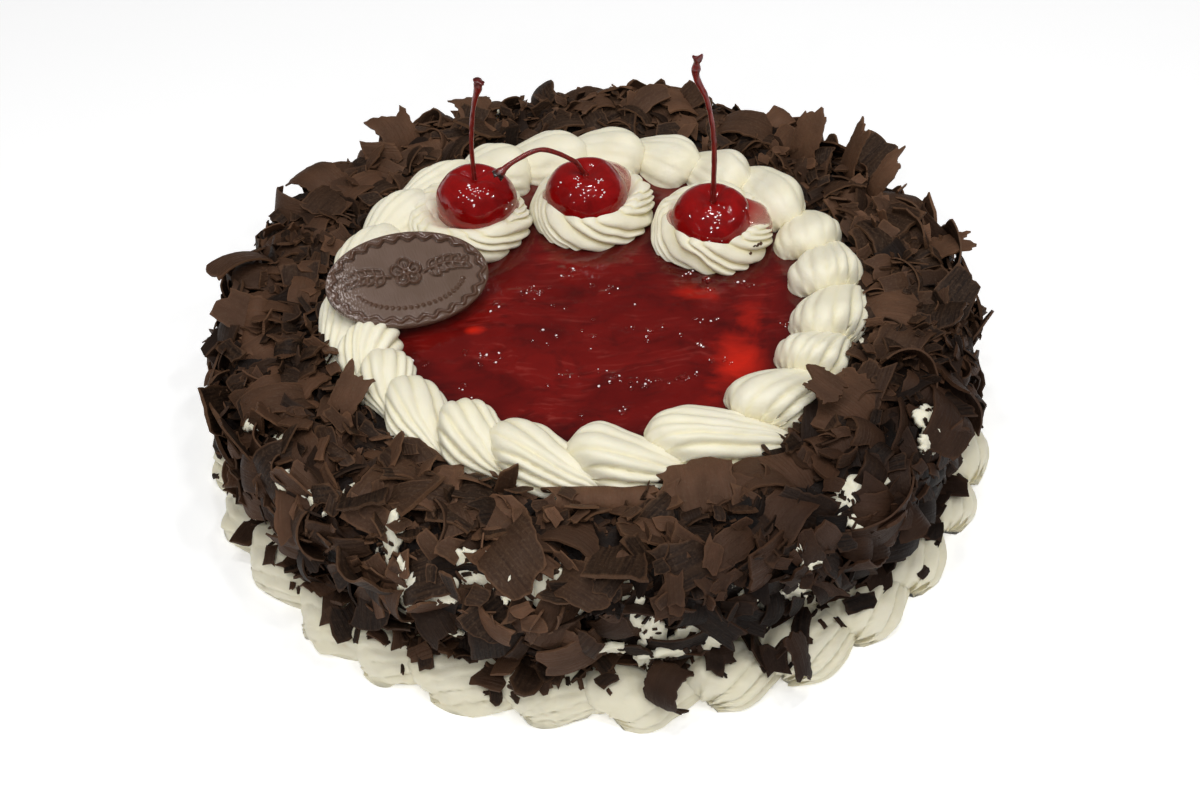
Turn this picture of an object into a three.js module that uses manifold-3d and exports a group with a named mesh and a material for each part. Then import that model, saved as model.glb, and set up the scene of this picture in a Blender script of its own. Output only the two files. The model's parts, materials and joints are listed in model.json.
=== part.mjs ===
// Black forest cake: a low round cake coated in cream and chocolate shavings, with a shell
// border piped round its foot, a second shell ring piped on its top round a pool of cherry
// jelly, three cream nests that each hold a stalked cherry, and an oval chocolate plaque
// that leans on the ring. Millimetres, +Z up, origin at the middle of the underside, front
// of the cake towards -Y.

import * as THREE from 'three';
import { mergeVertices } from 'three/addons/utils/BufferGeometryUtils.js';
import Module from 'manifold-3d';

const wasm = await Module();
wasm.setup();

// ---------------------------------------------------------------- driving dimensions

const CLEARANCE = 0.35; // left between neighbouring pieces

// sponge with its cream coat
const CORE_RADIUS = 105;
const CORE_HEIGHT = 45.5;
const CORE_SIDES = 56;

// section of the bed of pressed-in shavings, from the ring outwards and down to the foot
const BED_SECTION = [
  [84, 46.8],
  [99, 47.6],
  [106, 44.8],
  [109.2, 38],
  [109.2, 21],
  [CORE_RADIUS, 14],
];

// jelly pool
const JELLY_RADIUS = 66;
const JELLY_TOP = 48.8;
const JELLY_EDGE = 1; // bevel of the pool's edge
const JELLY_SIDES = 40;

// shells of a border: places along one pitch, with the size of the section there
const SHELL_SECTIONS = [
  [0, 0.72],
  [0.09, 0.95],
  [0.3, 1.04],
  [0.62, 0.92],
];

// how far the largest shell of a border passes its named size
const SHELL_SPREAD = 1.16;

// shell ring piped on the top
const RING = {
  seed: 77,
  radius: 69.8,
  innerLimit: 0,
  count: 18,
  halfWidth: 8.6,
  height: 13.6,
  floor: CORE_HEIGHT + CLEARANCE,
  yaw: 0.13,
  ribs: 4,
  ribDepth: 0.06,
};

// shell border piped round the foot
const FOOT = {
  seed: 131,
  radius: 112.6,
  innerLimit: CORE_RADIUS + CLEARANCE,
  count: 28,
  halfWidth: 9.4,
  height: 11.6,
  floor: 0,
  yaw: 0.11,
  ribs: 3,
  ribDepth: 0.06,
};

// cream nests: the section is given as shares of radius and height, from foot to hollow
const NEST_HEIGHT = 11.5; // above the coat that the nests stand on
const NEST_SECTION = [
  [0.9, 0],
  [1, 0.3],
  [0.95, 0.68],
  [0.78, 0.97],
  [0.6, 0.94],
];
const NEST_HOLLOW = 0.6; // height of the hollow's floor, as a share
const NEST_RIDGES = 11;
const NEST_GROOVE = 0.93; // radius in a groove, as a share of that on a ridge
const NEST_TWIST = 1.1; // radians from foot to crest
const NEST_CUT_SIDES = 24; // sides of the opening in the jelly

// cherries: height of the crown above the middle and depth of the belly below it
const CHERRY = { radius: 12.2, crown: 10.8, belly: 8.4, dimple: 3.2, dimpleRadius: 4.2 };
const CHERRY_SIDES = 14;
const CHERRY_ROWS = 10;

// each nest with the middle of the cherry that sits in it
const NESTS = [
  { middle: [-38.5, 33.5], radius: 19.5, cherry: [-34.9, 33.0, 59.4] },
  { middle: [0.8, 39.3], radius: 19.0, cherry: [-1.1, 37.0, 56.6] },
  { middle: [37.2, 25.4], radius: 18.7, cherry: [36.7, 22.3, 56.4] },
];

// cherry stalks: the middle line of each, from the dimple to the tip
const STALK_RADIUS = 0.9;
const STALK_KNOB = 1.5; // radius of the thicker end
const KNOB_SHARE = 0.16; // share of the length that thickens
const STALK_STEPS = 8;
const STALK_SIDES = 6;
const STALK_ROUTES = [
  [[-34.9, 33, 67.4], [-34.8, 33, 80], [-33.2, 33, 92], [-30.6, 33, 101.5]],
  [[-1.1, 37, 64.8], [-5.2, 36, 71], [-14, 33, 77], [-22.5, 29, 75.8], [-27.6, 26.6, 72.6]],
  [[36.7, 22.3, 64.4], [36.5, 22.6, 84], [34.3, 23.4, 98], [31, 24, 106], [31.2, 24.2, 112.5]],
];

// chocolate plaque
const PLAQUE_RIM = { width: 2.6, height: 0.8, wave: 0.7, edge: 0.8, crest: 0.5 };
const PLAQUE = {
  middle: [-53.6, -2.7, 58.6],
  halfLength: 24,
  halfWidth: 15.6,
  thickness: 2.4,
  turn: [25, 6, 21.2], // degrees about X, then Y, then Z
  sides: 32,
};

// chocolate shavings on the side and on the rim of the top
const FLAKE = {
  seed: 4021,
  rows: 6,
  perRow: 16,
  length: [18, 31],
  width: [12, 20],
  thickness: 1.7,
  steps: 2,
  sunk: 1.6, // depth of a root in the bed
  curlShare: 0.35, // share of the shavings that are tight curls
  attempts: 12, // turns that a shaving may make to clear the piped cream
  reach: 118, // largest distance from the axis
  crest: 57, // greatest height
  margin: 0.7, // kept clear of the piped cream
};

// ---------------------------------------------------------------- finishes

const finish = (name, color, roughness) => {
  const material = new THREE.MeshStandardMaterial({ color, roughness, metalness: 0 });
  material.name = name;
  return material;
};

const cream = finish('whipped cream', '#f3efdc', 0.55);
const shavings = finish('dark chocolate shavings', '#3d2c24', 0.7);
const plaqueChocolate = finish('moulded dark chocolate', '#4a3732', 0.4);
const jelly = finish('cherry jelly', '#6e0d10', 0.08);
const cherrySkin = finish('maraschino cherry', '#a90f12', 0.1);
const stalk = finish('cherry stalk', '#5a130f', 0.35);

// ---------------------------------------------------------------- solid tools

// A seeded draw, evenly spread between low and high.
function makeDraw(seed) {
  let state = seed;
  return (low, high) => {
    state = (state * 16807) % 2147483647;
    return low + ((high - low) * state) / 2147483647;
  };
}

// A geometry as a solid that can be joined and cut.
function toSolid(geometry) {
  const bare = geometry.clone();
  bare.deleteAttribute('normal');
  bare.deleteAttribute('uv');
  const merged = mergeVertices(bare, 1e-4);
  return new wasm.Manifold(
    new wasm.Mesh({
      numProp: 3,
      vertProperties: new Float32Array(merged.attributes.position.array),
      triVerts: new Uint32Array(merged.index.array),
    }),
  );
}

// Finds which shell of a mesh each vertex belongs to, named by one of its vertices.
function shellFinder(mesh) {
  const owner = Array.from({ length: mesh.numVert }, (_, index) => index);
  const find = (index) => {
    let root = index;
    while (owner[root] !== root) {
      root = owner[root];
    }
    owner[index] = root;
    return root;
  };
  for (let corner = 0; corner < mesh.triVerts.length; corner += 3) {
    const [a, b, c] = mesh.triVerts.slice(corner, corner + 3);
    owner[find(b)] = find(a);
    owner[find(c)] = find(a);
  }
  return find;
}

// The geometry of a solid. Only its largest shell is kept, so that a hollow sealed by the
// fusing is filled and a loose scrap is dropped.
function toGeometry(solid) {
  const mesh = solid.getMesh();
  const find = shellFinder(mesh);
  const sizes = new Map();
  for (const index of mesh.triVerts) {
    sizes.set(find(index), (sizes.get(find(index)) ?? 0) + 1);
  }
  const largest = [...sizes.keys()].reduce((best, shell) =>
    sizes.get(shell) > sizes.get(best) ? shell : best,
  );
  const kept = [];
  for (let corner = 0; corner < mesh.triVerts.length; corner += 3) {
    if (find(mesh.triVerts[corner]) === largest) {
      kept.push(...mesh.triVerts.slice(corner, corner + 3));
    }
  }
  const geometry = new THREE.BufferGeometry();
  const positions = new Float32Array(mesh.vertProperties);
  geometry.setAttribute('position', new THREE.BufferAttribute(positions, 3));
  geometry.setIndex(kept);
  return geometry.toNonIndexed();
}

const fuse = (solids) => solids.reduce((joined, solid) => joined.add(solid));

const cutAway = (solid, cutters) => cutters.reduce((left, cutter) => left.subtract(cutter), solid);

// A closed skin over rows of points, each row a ring of equal length. With two poles the
// first and last rows are closed by fans, and without them the last row meets the first.
function skin(rows, firstPole, lastPole) {
  const around = rows[0].length;
  const points = rows.flat();
  const at = (row, column) => (row % rows.length) * around + (column % around);
  const faces = [];
  for (let row = 0; row < (firstPole ? rows.length - 1 : rows.length); row += 1) {
    for (let column = 0; column < around; column += 1) {
      faces.push(at(row, column), at(row, column + 1), at(row + 1, column + 1));
      faces.push(at(row, column), at(row + 1, column + 1), at(row + 1, column));
    }
  }
  if (firstPole) {
    const pole = points.push(firstPole, lastPole) - 2;
    const lastRow = rows.length - 1;
    for (let column = 0; column < around; column += 1) {
      faces.push(pole, at(0, column + 1), at(0, column));
      faces.push(pole + 1, at(lastRow, column), at(lastRow, column + 1));
    }
  }
  const geometry = new THREE.BufferGeometry();
  const flat = points.flatMap((point) => [point.x, point.y, point.z]);
  geometry.setAttribute('position', new THREE.Float32BufferAttribute(flat, 3));
  geometry.setIndex(faces);
  return geometry;
}

// ---------------------------------------------------------------- sponge and its coat

// A turned solid about Z. The profile is given as [radius, height] pairs that start and end
// on the axis, from the underside outwards and up.
function turned(profile, sides) {
  const points = profile.map(([radius, height]) => new THREE.Vector2(radius, height));
  return new THREE.LatheGeometry(points, sides).rotateX(Math.PI / 2);
}

// The sponge with its coat and the bed of shavings round it.
function coreGeometry() {
  const [bedStart] = BED_SECTION[0];
  const underside = [
    [0, 0],
    [CORE_RADIUS, 0],
  ];
  const top = [
    [bedStart - 1, CORE_HEIGHT],
    [0, CORE_HEIGHT],
  ];
  return turned([...underside, ...[...BED_SECTION].reverse(), ...top], CORE_SIDES);
}

// The whole pool of jelly, grown on all faces to cut room for what lies on it.
function jellyGeometry(grow) {
  const radius = JELLY_RADIUS + grow;
  const bottom = CORE_HEIGHT + CLEARANCE - grow;
  const top = JELLY_TOP + grow;
  const section = [
    [0, bottom],
    [radius, bottom],
    [radius, top - JELLY_EDGE],
    [radius - JELLY_EDGE, top],
    [0, top],
  ];
  return turned(section, JELLY_SIDES);
}

// The jelly pool, cut round the nests that stand in it.
function jellyPoolGeometry() {
  const cutters = NESTS.map((nest) => {
    const radius = nest.radius + CLEARANCE;
    const column = new THREE.CylinderGeometry(radius, radius, JELLY_TOP, NEST_CUT_SIDES);
    return toSolid(column.rotateX(Math.PI / 2).translate(...nest.middle, JELLY_TOP));
  });
  return toGeometry(cutAway(toSolid(jellyGeometry(0)), cutters));
}

// ---------------------------------------------------------------- chocolate shavings

// The lengths of the bed's straight stretches, and their sum.
function bedStretches() {
  const lengths = BED_SECTION.slice(1).map(([radius, height], index) => {
    const [lastRadius, lastHeight] = BED_SECTION[index];
    return Math.hypot(radius - lastRadius, height - lastHeight);
  });
  return { lengths, total: lengths.reduce((sum, length) => sum + length) };
}

// The point at a share of the way along the bed's section, and how far its outward
// direction leans up from level there.
function bedPoint(share) {
  const { lengths, total } = bedStretches();
  let rest = share * total;
  let index = 0;
  while (index < lengths.length - 1 && rest > lengths[index]) {
    rest -= lengths[index];
    index += 1;
  }
  const [radius, height] = BED_SECTION[index];
  const [nextRadius, nextHeight] = BED_SECTION[index + 1];
  const along = rest / lengths[index];
  return {
    radius: radius + (nextRadius - radius) * along,
    height: height + (nextHeight - height) * along,
    lean: Math.atan2(nextRadius - radius, height - nextHeight),
  };
}

// A curved shaving along +X from its root, with uneven edges and slanted ends, leaning out
// by tilt and curling by turn over its length.
function flakeGeometry(shape) {
  const { length, width, tilt, turn, slant, edges } = shape;
  const stride = length / FLAKE.steps;
  const geometry = new THREE.BoxGeometry(1, 1, 1, FLAKE.steps, 1, 1);
  const position = geometry.attributes.position;
  for (let index = 0; index < position.count; index += 1) {
    const along = position.getX(index) + 0.5;
    const station = Math.round(along * FLAKE.steps);
    const side = position.getY(index) > 0 ? 0 : 1;
    const across = position.getY(index) * width * edges[side][station];
    const depth = position.getZ(index) * FLAKE.thickness;
    const slope = tilt + turn * along;
    let x = slant * across - Math.sin(slope) * depth;
    let z = Math.cos(slope) * depth;
    for (let step = 0; step < station; step += 1) {
      const lean = tilt + (turn * (step + 0.5)) / FLAKE.steps;
      x += Math.cos(lean) * stride;
      z += Math.sin(lean) * stride;
    }
    position.setXYZ(index, x, across, z);
  }
  return geometry;
}

// True where a point is clear of the piped cream and within the cake's outline.
function pointIsFree(point) {
  const radius = Math.hypot(point.x, point.y);
  const ringEdge = RING.radius + RING.halfWidth * SHELL_SPREAD + FLAKE.margin;
  const footEdge = FOOT.radius + FOOT.halfWidth * SHELL_SPREAD;
  const footSpan = Math.max(0, (radius - CORE_RADIUS) / (footEdge - CORE_RADIUS));
  const footTop = FOOT.height * SHELL_SPREAD * Math.sqrt(Math.max(0, 1 - footSpan ** 4));
  return (
    radius > ringEdge &&
    radius < FLAKE.reach &&
    point.z < FLAKE.crest &&
    point.z > footTop + FLAKE.margin
  );
}

function isFree(geometry) {
  const position = geometry.attributes.position;
  const point = new THREE.Vector3();
  for (let index = 0; index < position.count; index += 1) {
    if (!pointIsFree(point.fromBufferAttribute(position, index))) {
      return false;
    }
  }
  return true;
}

// The shape of one shaving: a flat shard or a tight curl.
function drawFlake(draw) {
  const isCurl = draw(0, 1) < FLAKE.curlShare;
  return {
    length: draw(...FLAKE.length),
    width: draw(...FLAKE.width),
    tilt: isCurl ? draw(0.7, 1.2) : draw(0.2, 0.65),
    turn: isCurl ? draw(-2.4, -1.4) : draw(-0.5, 0.4),
    slant: draw(-0.5, 0.5),
    edges: [0, 1].map(() => Array.from({ length: FLAKE.steps + 1 }, () => draw(0.6, 1.1))),
  };
}

// One shaving, rooted in the bed at an angle round the cake and a share of the way down its
// section. It turns about its root and shrinks until it is clear of the piped cream.
function placeFlake(draw, angle, share) {
  const { radius, height, lean } = bedPoint(share);
  const shape = drawFlake(draw);
  for (let attempt = 0; attempt < FLAKE.attempts; attempt += 1) {
    const frame = new THREE.Matrix4()
      .makeRotationZ(angle)
      .multiply(new THREE.Matrix4().makeTranslation(radius, 0, height))
      .multiply(new THREE.Matrix4().makeRotationY(Math.PI / 2 - lean))
      .multiply(new THREE.Matrix4().makeTranslation(0, 0, -FLAKE.sunk))
      .multiply(new THREE.Matrix4().makeRotationZ(draw(0, 2 * Math.PI)))
      .multiply(new THREE.Matrix4().makeRotationX(draw(-0.4, 0.4)));
    const geometry = flakeGeometry(shape).applyMatrix4(frame);
    if (isFree(geometry)) {
      return geometry;
    }
    shape.length *= 0.94;
    shape.width *= 0.96;
  }
  return null;
}

// Staggered rows of shavings down the section of the bed.
function flakeGeometries() {
  const draw = makeDraw(FLAKE.seed);
  const flakes = [];
  for (let row = 0; row < FLAKE.rows; row += 1) {
    for (let column = 0; column < FLAKE.perRow; column += 1) {
      const shift = row % 2 === 0 ? 0 : 0.5;
      const angle = ((column + shift + draw(-0.3, 0.3)) * 2 * Math.PI) / FLAKE.perRow;
      const share = (row + 0.5 + draw(-0.35, 0.35)) / FLAKE.rows;
      flakes.push(placeFlake(draw, angle, share));
    }
  }
  return flakes.filter((flake) => flake !== null);
}

// The cake under its borders, with its largest shavings fused on.
function cakeBodyGeometry() {
  return toGeometry(fuse([coreGeometry(), ...flakeGeometries()].map(toSolid)));
}

// ---------------------------------------------------------------- piped shells

// A closed border of shells round the cake. Each shell is a bulky ribbed head that draws out
// anticlockwise into a slimmer tail, and the next head swells up over that tail.
function borderGeometry(border) {
  const draw = makeDraw(border.seed);
  const pitch = (2 * Math.PI) / border.count;
  const columns = border.ribs * 2 + 1;
  const rows = [];
  for (let shell = 0; shell < border.count; shell += 1) {
    const start = (shell + draw(-0.07, 0.07)) * pitch;
    const size = draw(0.94, 1.05);
    const lift = draw(0.94, 1.04);
    for (const [along, swell] of SHELL_SECTIONS) {
      const angle = start + along * pitch;
      const middle = border.radius + (along - 0.4) * pitch * border.radius * border.yaw;
      const row = [];
      for (let column = 0; column < columns; column += 1) {
        const turn = (Math.PI * column) / (columns - 1);
        const rib = swell * (column % 2 === 0 ? 1 - border.ribDepth : 1 + border.ribDepth);
        const side = -Math.cos(turn) * border.halfWidth * size * rib;
        const radius = Math.max(border.innerLimit, middle + side);
        const rise = Math.max(0, Math.sin(turn)) ** 0.8 * border.height * lift * rib;
        const x = radius * Math.cos(angle);
        row.push(new THREE.Vector3(x, radius * Math.sin(angle), border.floor + rise));
      }
      rows.push(row);
    }
  }
  return skin(rows);
}

// The ring on the top, cut clear of the jelly's edge, the plaque and the nests.
function ringGeometry() {
  const cutters = [
    toSolid(jellyGeometry(CLEARANCE)),
    toSolid(plaqueGeometry(CLEARANCE)),
    ...NESTS.map((nest) => toSolid(nestGeometry(nest, CLEARANCE))),
  ];
  return toGeometry(cutAway(toSolid(borderGeometry(RING)), cutters));
}

// ---------------------------------------------------------------- nests and cherries

// A round of piped cream with ridges that wind from foot to crest and a hollow for the cherry.
function nestGeometry(nest, grow) {
  const bottom = CORE_HEIGHT + CLEARANCE - grow;
  const radius = nest.radius + grow;
  const height = NEST_HEIGHT + 2 * grow;
  const around = NEST_RIDGES * 2;
  const [middleX, middleY] = nest.middle;
  const rows = NEST_SECTION.map(([outwards, upwards]) => {
    const row = [];
    for (let column = 0; column < around; column += 1) {
      const ridge = grow > 0 || column % 2 === 0 ? 1 : NEST_GROOVE;
      const angle = (2 * Math.PI * column) / around - NEST_TWIST * upwards;
      const x = middleX + radius * outwards * ridge * Math.cos(angle);
      const y = middleY + radius * outwards * ridge * Math.sin(angle);
      row.push(new THREE.Vector3(x, y, bottom + height * upwards));
    }
    return row;
  });
  const foot = new THREE.Vector3(middleX, middleY, bottom);
  const hollow = new THREE.Vector3(middleX, middleY, bottom + height * NEST_HOLLOW);
  return skin(rows, foot, hollow);
}

// A cherry about its own middle, with the dimple that its stalk stands in.
function cherryGeometry(nest, grow) {
  const geometry = new THREE.SphereGeometry(1, CHERRY_SIDES, CHERRY_ROWS).rotateX(Math.PI / 2);
  const position = geometry.attributes.position;
  for (let index = 0; index < position.count; index += 1) {
    const x = position.getX(index) * (CHERRY.radius + grow);
    const y = position.getY(index) * (CHERRY.radius + grow);
    const upwards = position.getZ(index);
    if (upwards > 0) {
      const dimple = CHERRY.dimple * Math.exp(-((Math.hypot(x, y) / CHERRY.dimpleRadius) ** 2));
      position.setXYZ(index, x, y, upwards * (CHERRY.crown + grow) - dimple);
    } else {
      position.setXYZ(index, x, y, upwards * (CHERRY.belly + grow));
    }
  }
  return geometry.translate(...nest.cherry);
}

// A stalk along its route: slender, and thicker towards the tip.
function stalkGeometry(route) {
  const path = new THREE.CatmullRomCurve3(route.map((point) => new THREE.Vector3(...point)));
  const section = new THREE.Shape();
  for (let side = 0; side < STALK_SIDES; side += 1) {
    const angle = (2 * Math.PI * side) / STALK_SIDES;
    const x = STALK_RADIUS * Math.cos(angle);
    const y = STALK_RADIUS * Math.sin(angle);
    if (side === 0) {
      section.moveTo(x, y);
    } else {
      section.lineTo(x, y);
    }
  }
  section.closePath();
  const geometry = new THREE.ExtrudeGeometry(section, {
    steps: STALK_STEPS,
    extrudePath: path,
    bevelEnabled: false,
  });
  return swellTip(geometry, path);
}

// Widens the last stretch of a stalk into its knob.
function swellTip(geometry, path) {
  const tip = path.getPoint(1);
  const reach = path.getLength() * KNOB_SHARE;
  const position = geometry.attributes.position;
  const middle = path.getPoints(40);
  const point = new THREE.Vector3();
  for (let index = 0; index < position.count; index += 1) {
    point.fromBufferAttribute(position, index);
    const near = Math.max(0, 1 - point.distanceTo(tip) / reach);
    const spine = middle.reduce((best, item) =>
      item.distanceTo(point) < best.distanceTo(point) ? item : best,
    );
    const widen = 1 + near * (STALK_KNOB / STALK_RADIUS - 1);
    point.sub(spine).multiplyScalar(widen).add(spine);
    position.setXYZ(index, point.x, point.y, point.z);
  }
  return geometry;
}

// ---------------------------------------------------------------- plaque

// An oval tablet with a raised rim that waves in and out, leaning back on the ring.
function plaqueGeometry(grow) {
  const { halfLength, halfWidth, thickness, sides } = PLAQUE;
  const ring = (inset, height, wave) => {
    const row = [];
    for (let side = 0; side < sides; side += 1) {
      const angle = (2 * Math.PI * side) / sides;
      const inwards = inset + (side % 2 === 0 ? wave : 0);
      const x = (halfLength + grow - inwards) * Math.cos(angle);
      const y = (halfWidth + grow - inwards) * Math.sin(angle);
      row.push(new THREE.Vector3(x, y, height));
    }
    return row;
  };
  const bottom = -thickness / 2 - grow;
  const field = thickness / 2 + grow;
  const rows = [
    ring(PLAQUE_RIM.edge, bottom, 0),
    ring(0, 0, 0),
    ring(PLAQUE_RIM.crest, field + PLAQUE_RIM.height, 0),
    ring(PLAQUE_RIM.width, field, PLAQUE_RIM.wave),
  ];
  const geometry = skin(rows, new THREE.Vector3(0, 0, bottom), new THREE.Vector3(0, 0, field));
  const [aboutX, aboutY, aboutZ] = PLAQUE.turn.map(THREE.MathUtils.degToRad);
  return geometry
    .rotateX(aboutX)
    .rotateY(aboutY)
    .rotateZ(aboutZ)
    .translate(...PLAQUE.middle);
}

// ---------------------------------------------------------------- the cake

const cake = new THREE.Group();

function addPiece(name, geometry, material) {
  const mesh = new THREE.Mesh(geometry, material);
  mesh.name = name;
  cake.add(mesh);
}

addPiece('cake_body', cakeBodyGeometry(), shavings);
addPiece('foot_border', borderGeometry(FOOT), cream);
addPiece('piped_ring', ringGeometry(), cream);
addPiece('chocolate_plaque', plaqueGeometry(0), plaqueChocolate);
addPiece('cherry_jelly', jellyPoolGeometry(), jelly);

NESTS.forEach((nest, index) => {
  const cherryCutter = toSolid(cherryGeometry(nest, CLEARANCE));
  const nestSolid = cutAway(toSolid(nestGeometry(nest, 0)), [cherryCutter]);
  addPiece(`cream_nest_${index + 1}`, toGeometry(nestSolid), cream);
  addPiece(`cherry_${index + 1}`, cherryGeometry(nest, 0), cherrySkin);
  addPiece(`cherry_stalk_${index + 1}`, stalkGeometry(STALK_ROUTES[index]), stalk);
});

export default cake;
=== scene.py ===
"""Black forest cake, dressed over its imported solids.

Whipped cream, chocolate shavings, cherry jelly, candied cherries and a moulded chocolate
plaque. Lengths in the code are millimetres and become metres when a mesh is made. The
origin is the middle of the underside, +Z is up and the front of the cake faces -Y.
"""

import itertools
import json
import math

import bpy
import numpy as np
from mathutils import Matrix, Vector
from mathutils.bvhtree import BVHTree

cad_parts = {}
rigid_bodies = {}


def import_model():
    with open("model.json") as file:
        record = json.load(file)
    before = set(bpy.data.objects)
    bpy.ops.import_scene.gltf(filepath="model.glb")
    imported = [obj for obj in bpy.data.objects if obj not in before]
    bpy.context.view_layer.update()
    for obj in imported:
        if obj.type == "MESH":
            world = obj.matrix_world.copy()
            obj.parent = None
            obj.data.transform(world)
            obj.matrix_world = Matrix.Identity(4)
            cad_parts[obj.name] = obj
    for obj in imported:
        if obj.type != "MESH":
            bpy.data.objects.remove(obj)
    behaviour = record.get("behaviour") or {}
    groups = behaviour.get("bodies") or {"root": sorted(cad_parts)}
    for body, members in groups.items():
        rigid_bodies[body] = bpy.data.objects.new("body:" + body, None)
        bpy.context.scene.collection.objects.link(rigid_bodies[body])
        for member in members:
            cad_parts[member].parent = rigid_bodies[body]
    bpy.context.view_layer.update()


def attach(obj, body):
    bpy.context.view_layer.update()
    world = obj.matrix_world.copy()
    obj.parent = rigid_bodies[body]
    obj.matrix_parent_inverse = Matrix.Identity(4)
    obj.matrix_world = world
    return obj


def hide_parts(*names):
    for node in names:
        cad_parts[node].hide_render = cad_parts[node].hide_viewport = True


bl_info = {
    "name": "Black forest cake",
    "version": (1, 0, 0),
    "blender": (4, 5, 0),
    "location": "3D View > Sidebar > Cake",
    "description": "Builds the visible pieces of a black forest cake over its solids",
    "category": "Add Mesh",
}

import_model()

MM = 0.001

# ------------------------------------------------------------------ sizes, in millimetres

COAT_TOP = 45.5  # height of the cream coat that the toppings stand on
BED_SECTION = ((84, 46.8), (99, 47.6), (106, 44.8), (109.2, 38), (109.2, 21), (105, 14))

# shells of piped cream: share of the length, place along one pitch, half width, height
SHELL_PROFILE = np.array((
    (0.00, -0.05, 0.40, 0.06),
    (0.06, -0.17, 0.72, 0.34),
    (0.15, -0.19, 0.92, 0.66),
    (0.27, -0.07, 1.03, 0.92),
    (0.41, 0.16, 1.03, 1.00),
    (0.57, 0.45, 0.90, 0.91),
    (0.73, 0.78, 0.67, 0.71),
    (0.88, 1.08, 0.44, 0.47),
    (1.00, 1.32, 0.20, 0.20),
))
SHELL_RIBS = 7
SHELL_GROOVE = 0.28  # depth of a groove as a share of the section
SHELL_CREST = 0.5  # groove depth on the crest as a share of that on the outer side
SHELL_ROUND = 0.26  # how far the sides of a head stand behind its middle
SHELL_SLANT = 0.30  # how far the outer side of a shell lags behind the inner one
SHELL_DRIFT = 0.20  # how far the tail of a shell drifts outwards
SHELL_TUCK = 0.44  # how far the section goes on under the shell, in radians
SHELL_LENGTHS = (14.0, 25.0)

# where each shell of the ring on the top starts, in degrees anticlockwise from +X
RING_STARTS = (
    -166, -155, -143.5, -126, -113, -95, -77, -55, -35, -22, -5,
    11, 25, 44, 60, 76, 92, 109, 124, 141, 157, 174,
)
RING_RADIUS = 69.0
FOOT_RADIUS = 112.6
FOOT_SHELLS = 30

# nests: middle, radius, and the middle of the cherry that sits in each
NESTS = (
    ((-38.5, 33.5), 19.5, (-34.9, 33.0, 59.4)),
    ((0.8, 39.3), 19.0, (-1.1, 37.0, 56.6)),
    ((37.2, 25.4), 18.7, (36.7, 22.3, 56.4)),
)
NEST_HEIGHT = 11.5
NEST_RIDGES = 18
NEST_TWIST = 1.35  # radians from foot to crest
NEST_PROFILE = np.array((  # share of the section, share of the radius, share of the height
    (0.00, 0.88, -0.02),
    (0.10, 0.97, 0.12),
    (0.24, 1.02, 0.36),
    (0.38, 0.99, 0.64),
    (0.50, 0.92, 0.88),
    (0.61, 0.82, 1.04),
    (0.71, 0.71, 1.08),
    (0.81, 0.60, 0.98),
    (0.91, 0.45, 0.74),
    (1.00, 0.10, 0.60),
))

CHERRY_RADIUS = 12.2
CHERRY_CROWN = 10.8
CHERRY_BELLY = 8.4
CHERRY_DIMPLE = (3.2, 4.2)  # depth and radius
CHERRY_SWELL = (1.0, 1.07, 1.02)
CHERRY_FOLDS = 4  # dents that run out from the dimple

# middle line of each stalk, from the dimple to the tip
STALK_ROUTES = (
    ((-34.9, 33, 66.6), (-34.9, 33, 69), (-34.8, 33, 80), (-33.2, 33, 92), (-30.6, 33, 101.5)),
    ((-1.1, 37, 63.8), (-2.2, 36.8, 66.4), (-5.2, 36, 71), (-14, 33, 77), (-22.5, 29, 75.8),
     (-27.6, 26.6, 72.6)),
    ((36.7, 22.3, 63.6), (36.7, 22.3, 66), (36.5, 22.6, 84), (34.3, 23.4, 98), (31, 24, 106),
     (31.2, 24.2, 112.5)),
)

JELLY_RADIUS = 66.0
JELLY_TOP = 48.8

PLAQUE_MIDDLE = (-53.6, -3.5, 58.4)
PLAQUE_HALVES = (24.0, 15.1)
PLAQUE_THICKNESS = 2.4
PLAQUE_TURN = (25, 6, 21.2)  # degrees about X, then Y, then Z

# the large shavings that the solids also have
FLAKE = {
    "seed": 4021, "rows": 6, "per_row": 16, "length": (18, 31), "width": (12, 20),
    "thickness": 1.7, "steps": 2, "sunk": 1.6, "curl_share": 0.35, "attempts": 12,
    "reach": 118, "crest": 57, "margin": 0.7,
}
DRAW_FACTOR = 16807  # with the range, the rule that the solids draw their numbers by
DRAW_RANGE = 2147483647
SHARP = math.radians(48)  # a shaving's rim is crisp beyond this angle
FULL_TURN = 6.28  # radians, near enough for a random turn

# edges of the solids' piped cream, widened by its lobes, which the shavings clear
LOBES = 1.16
RING_EDGE = 69.8 + 8.6 * LOBES
FOOT_EDGE = 112.6 + 9.4 * LOBES
FOOT_CREST = 11.6 * LOBES
FOOT_SHOULDER = 105  # radius where the foot border's crest begins to fall


def linear(colour):
    """The linear RGBA of an sRGB hex value."""
    channels = [int(colour[place : place + 2], 16) / 255 for place in (1, 3, 5)]
    bent = [c / 12.92 if c <= 0.04045 else ((c + 0.055) / 1.055) ** 2.4 for c in channels]
    return (*bent, 1.0)


# ------------------------------------------------------------------ settings


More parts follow.
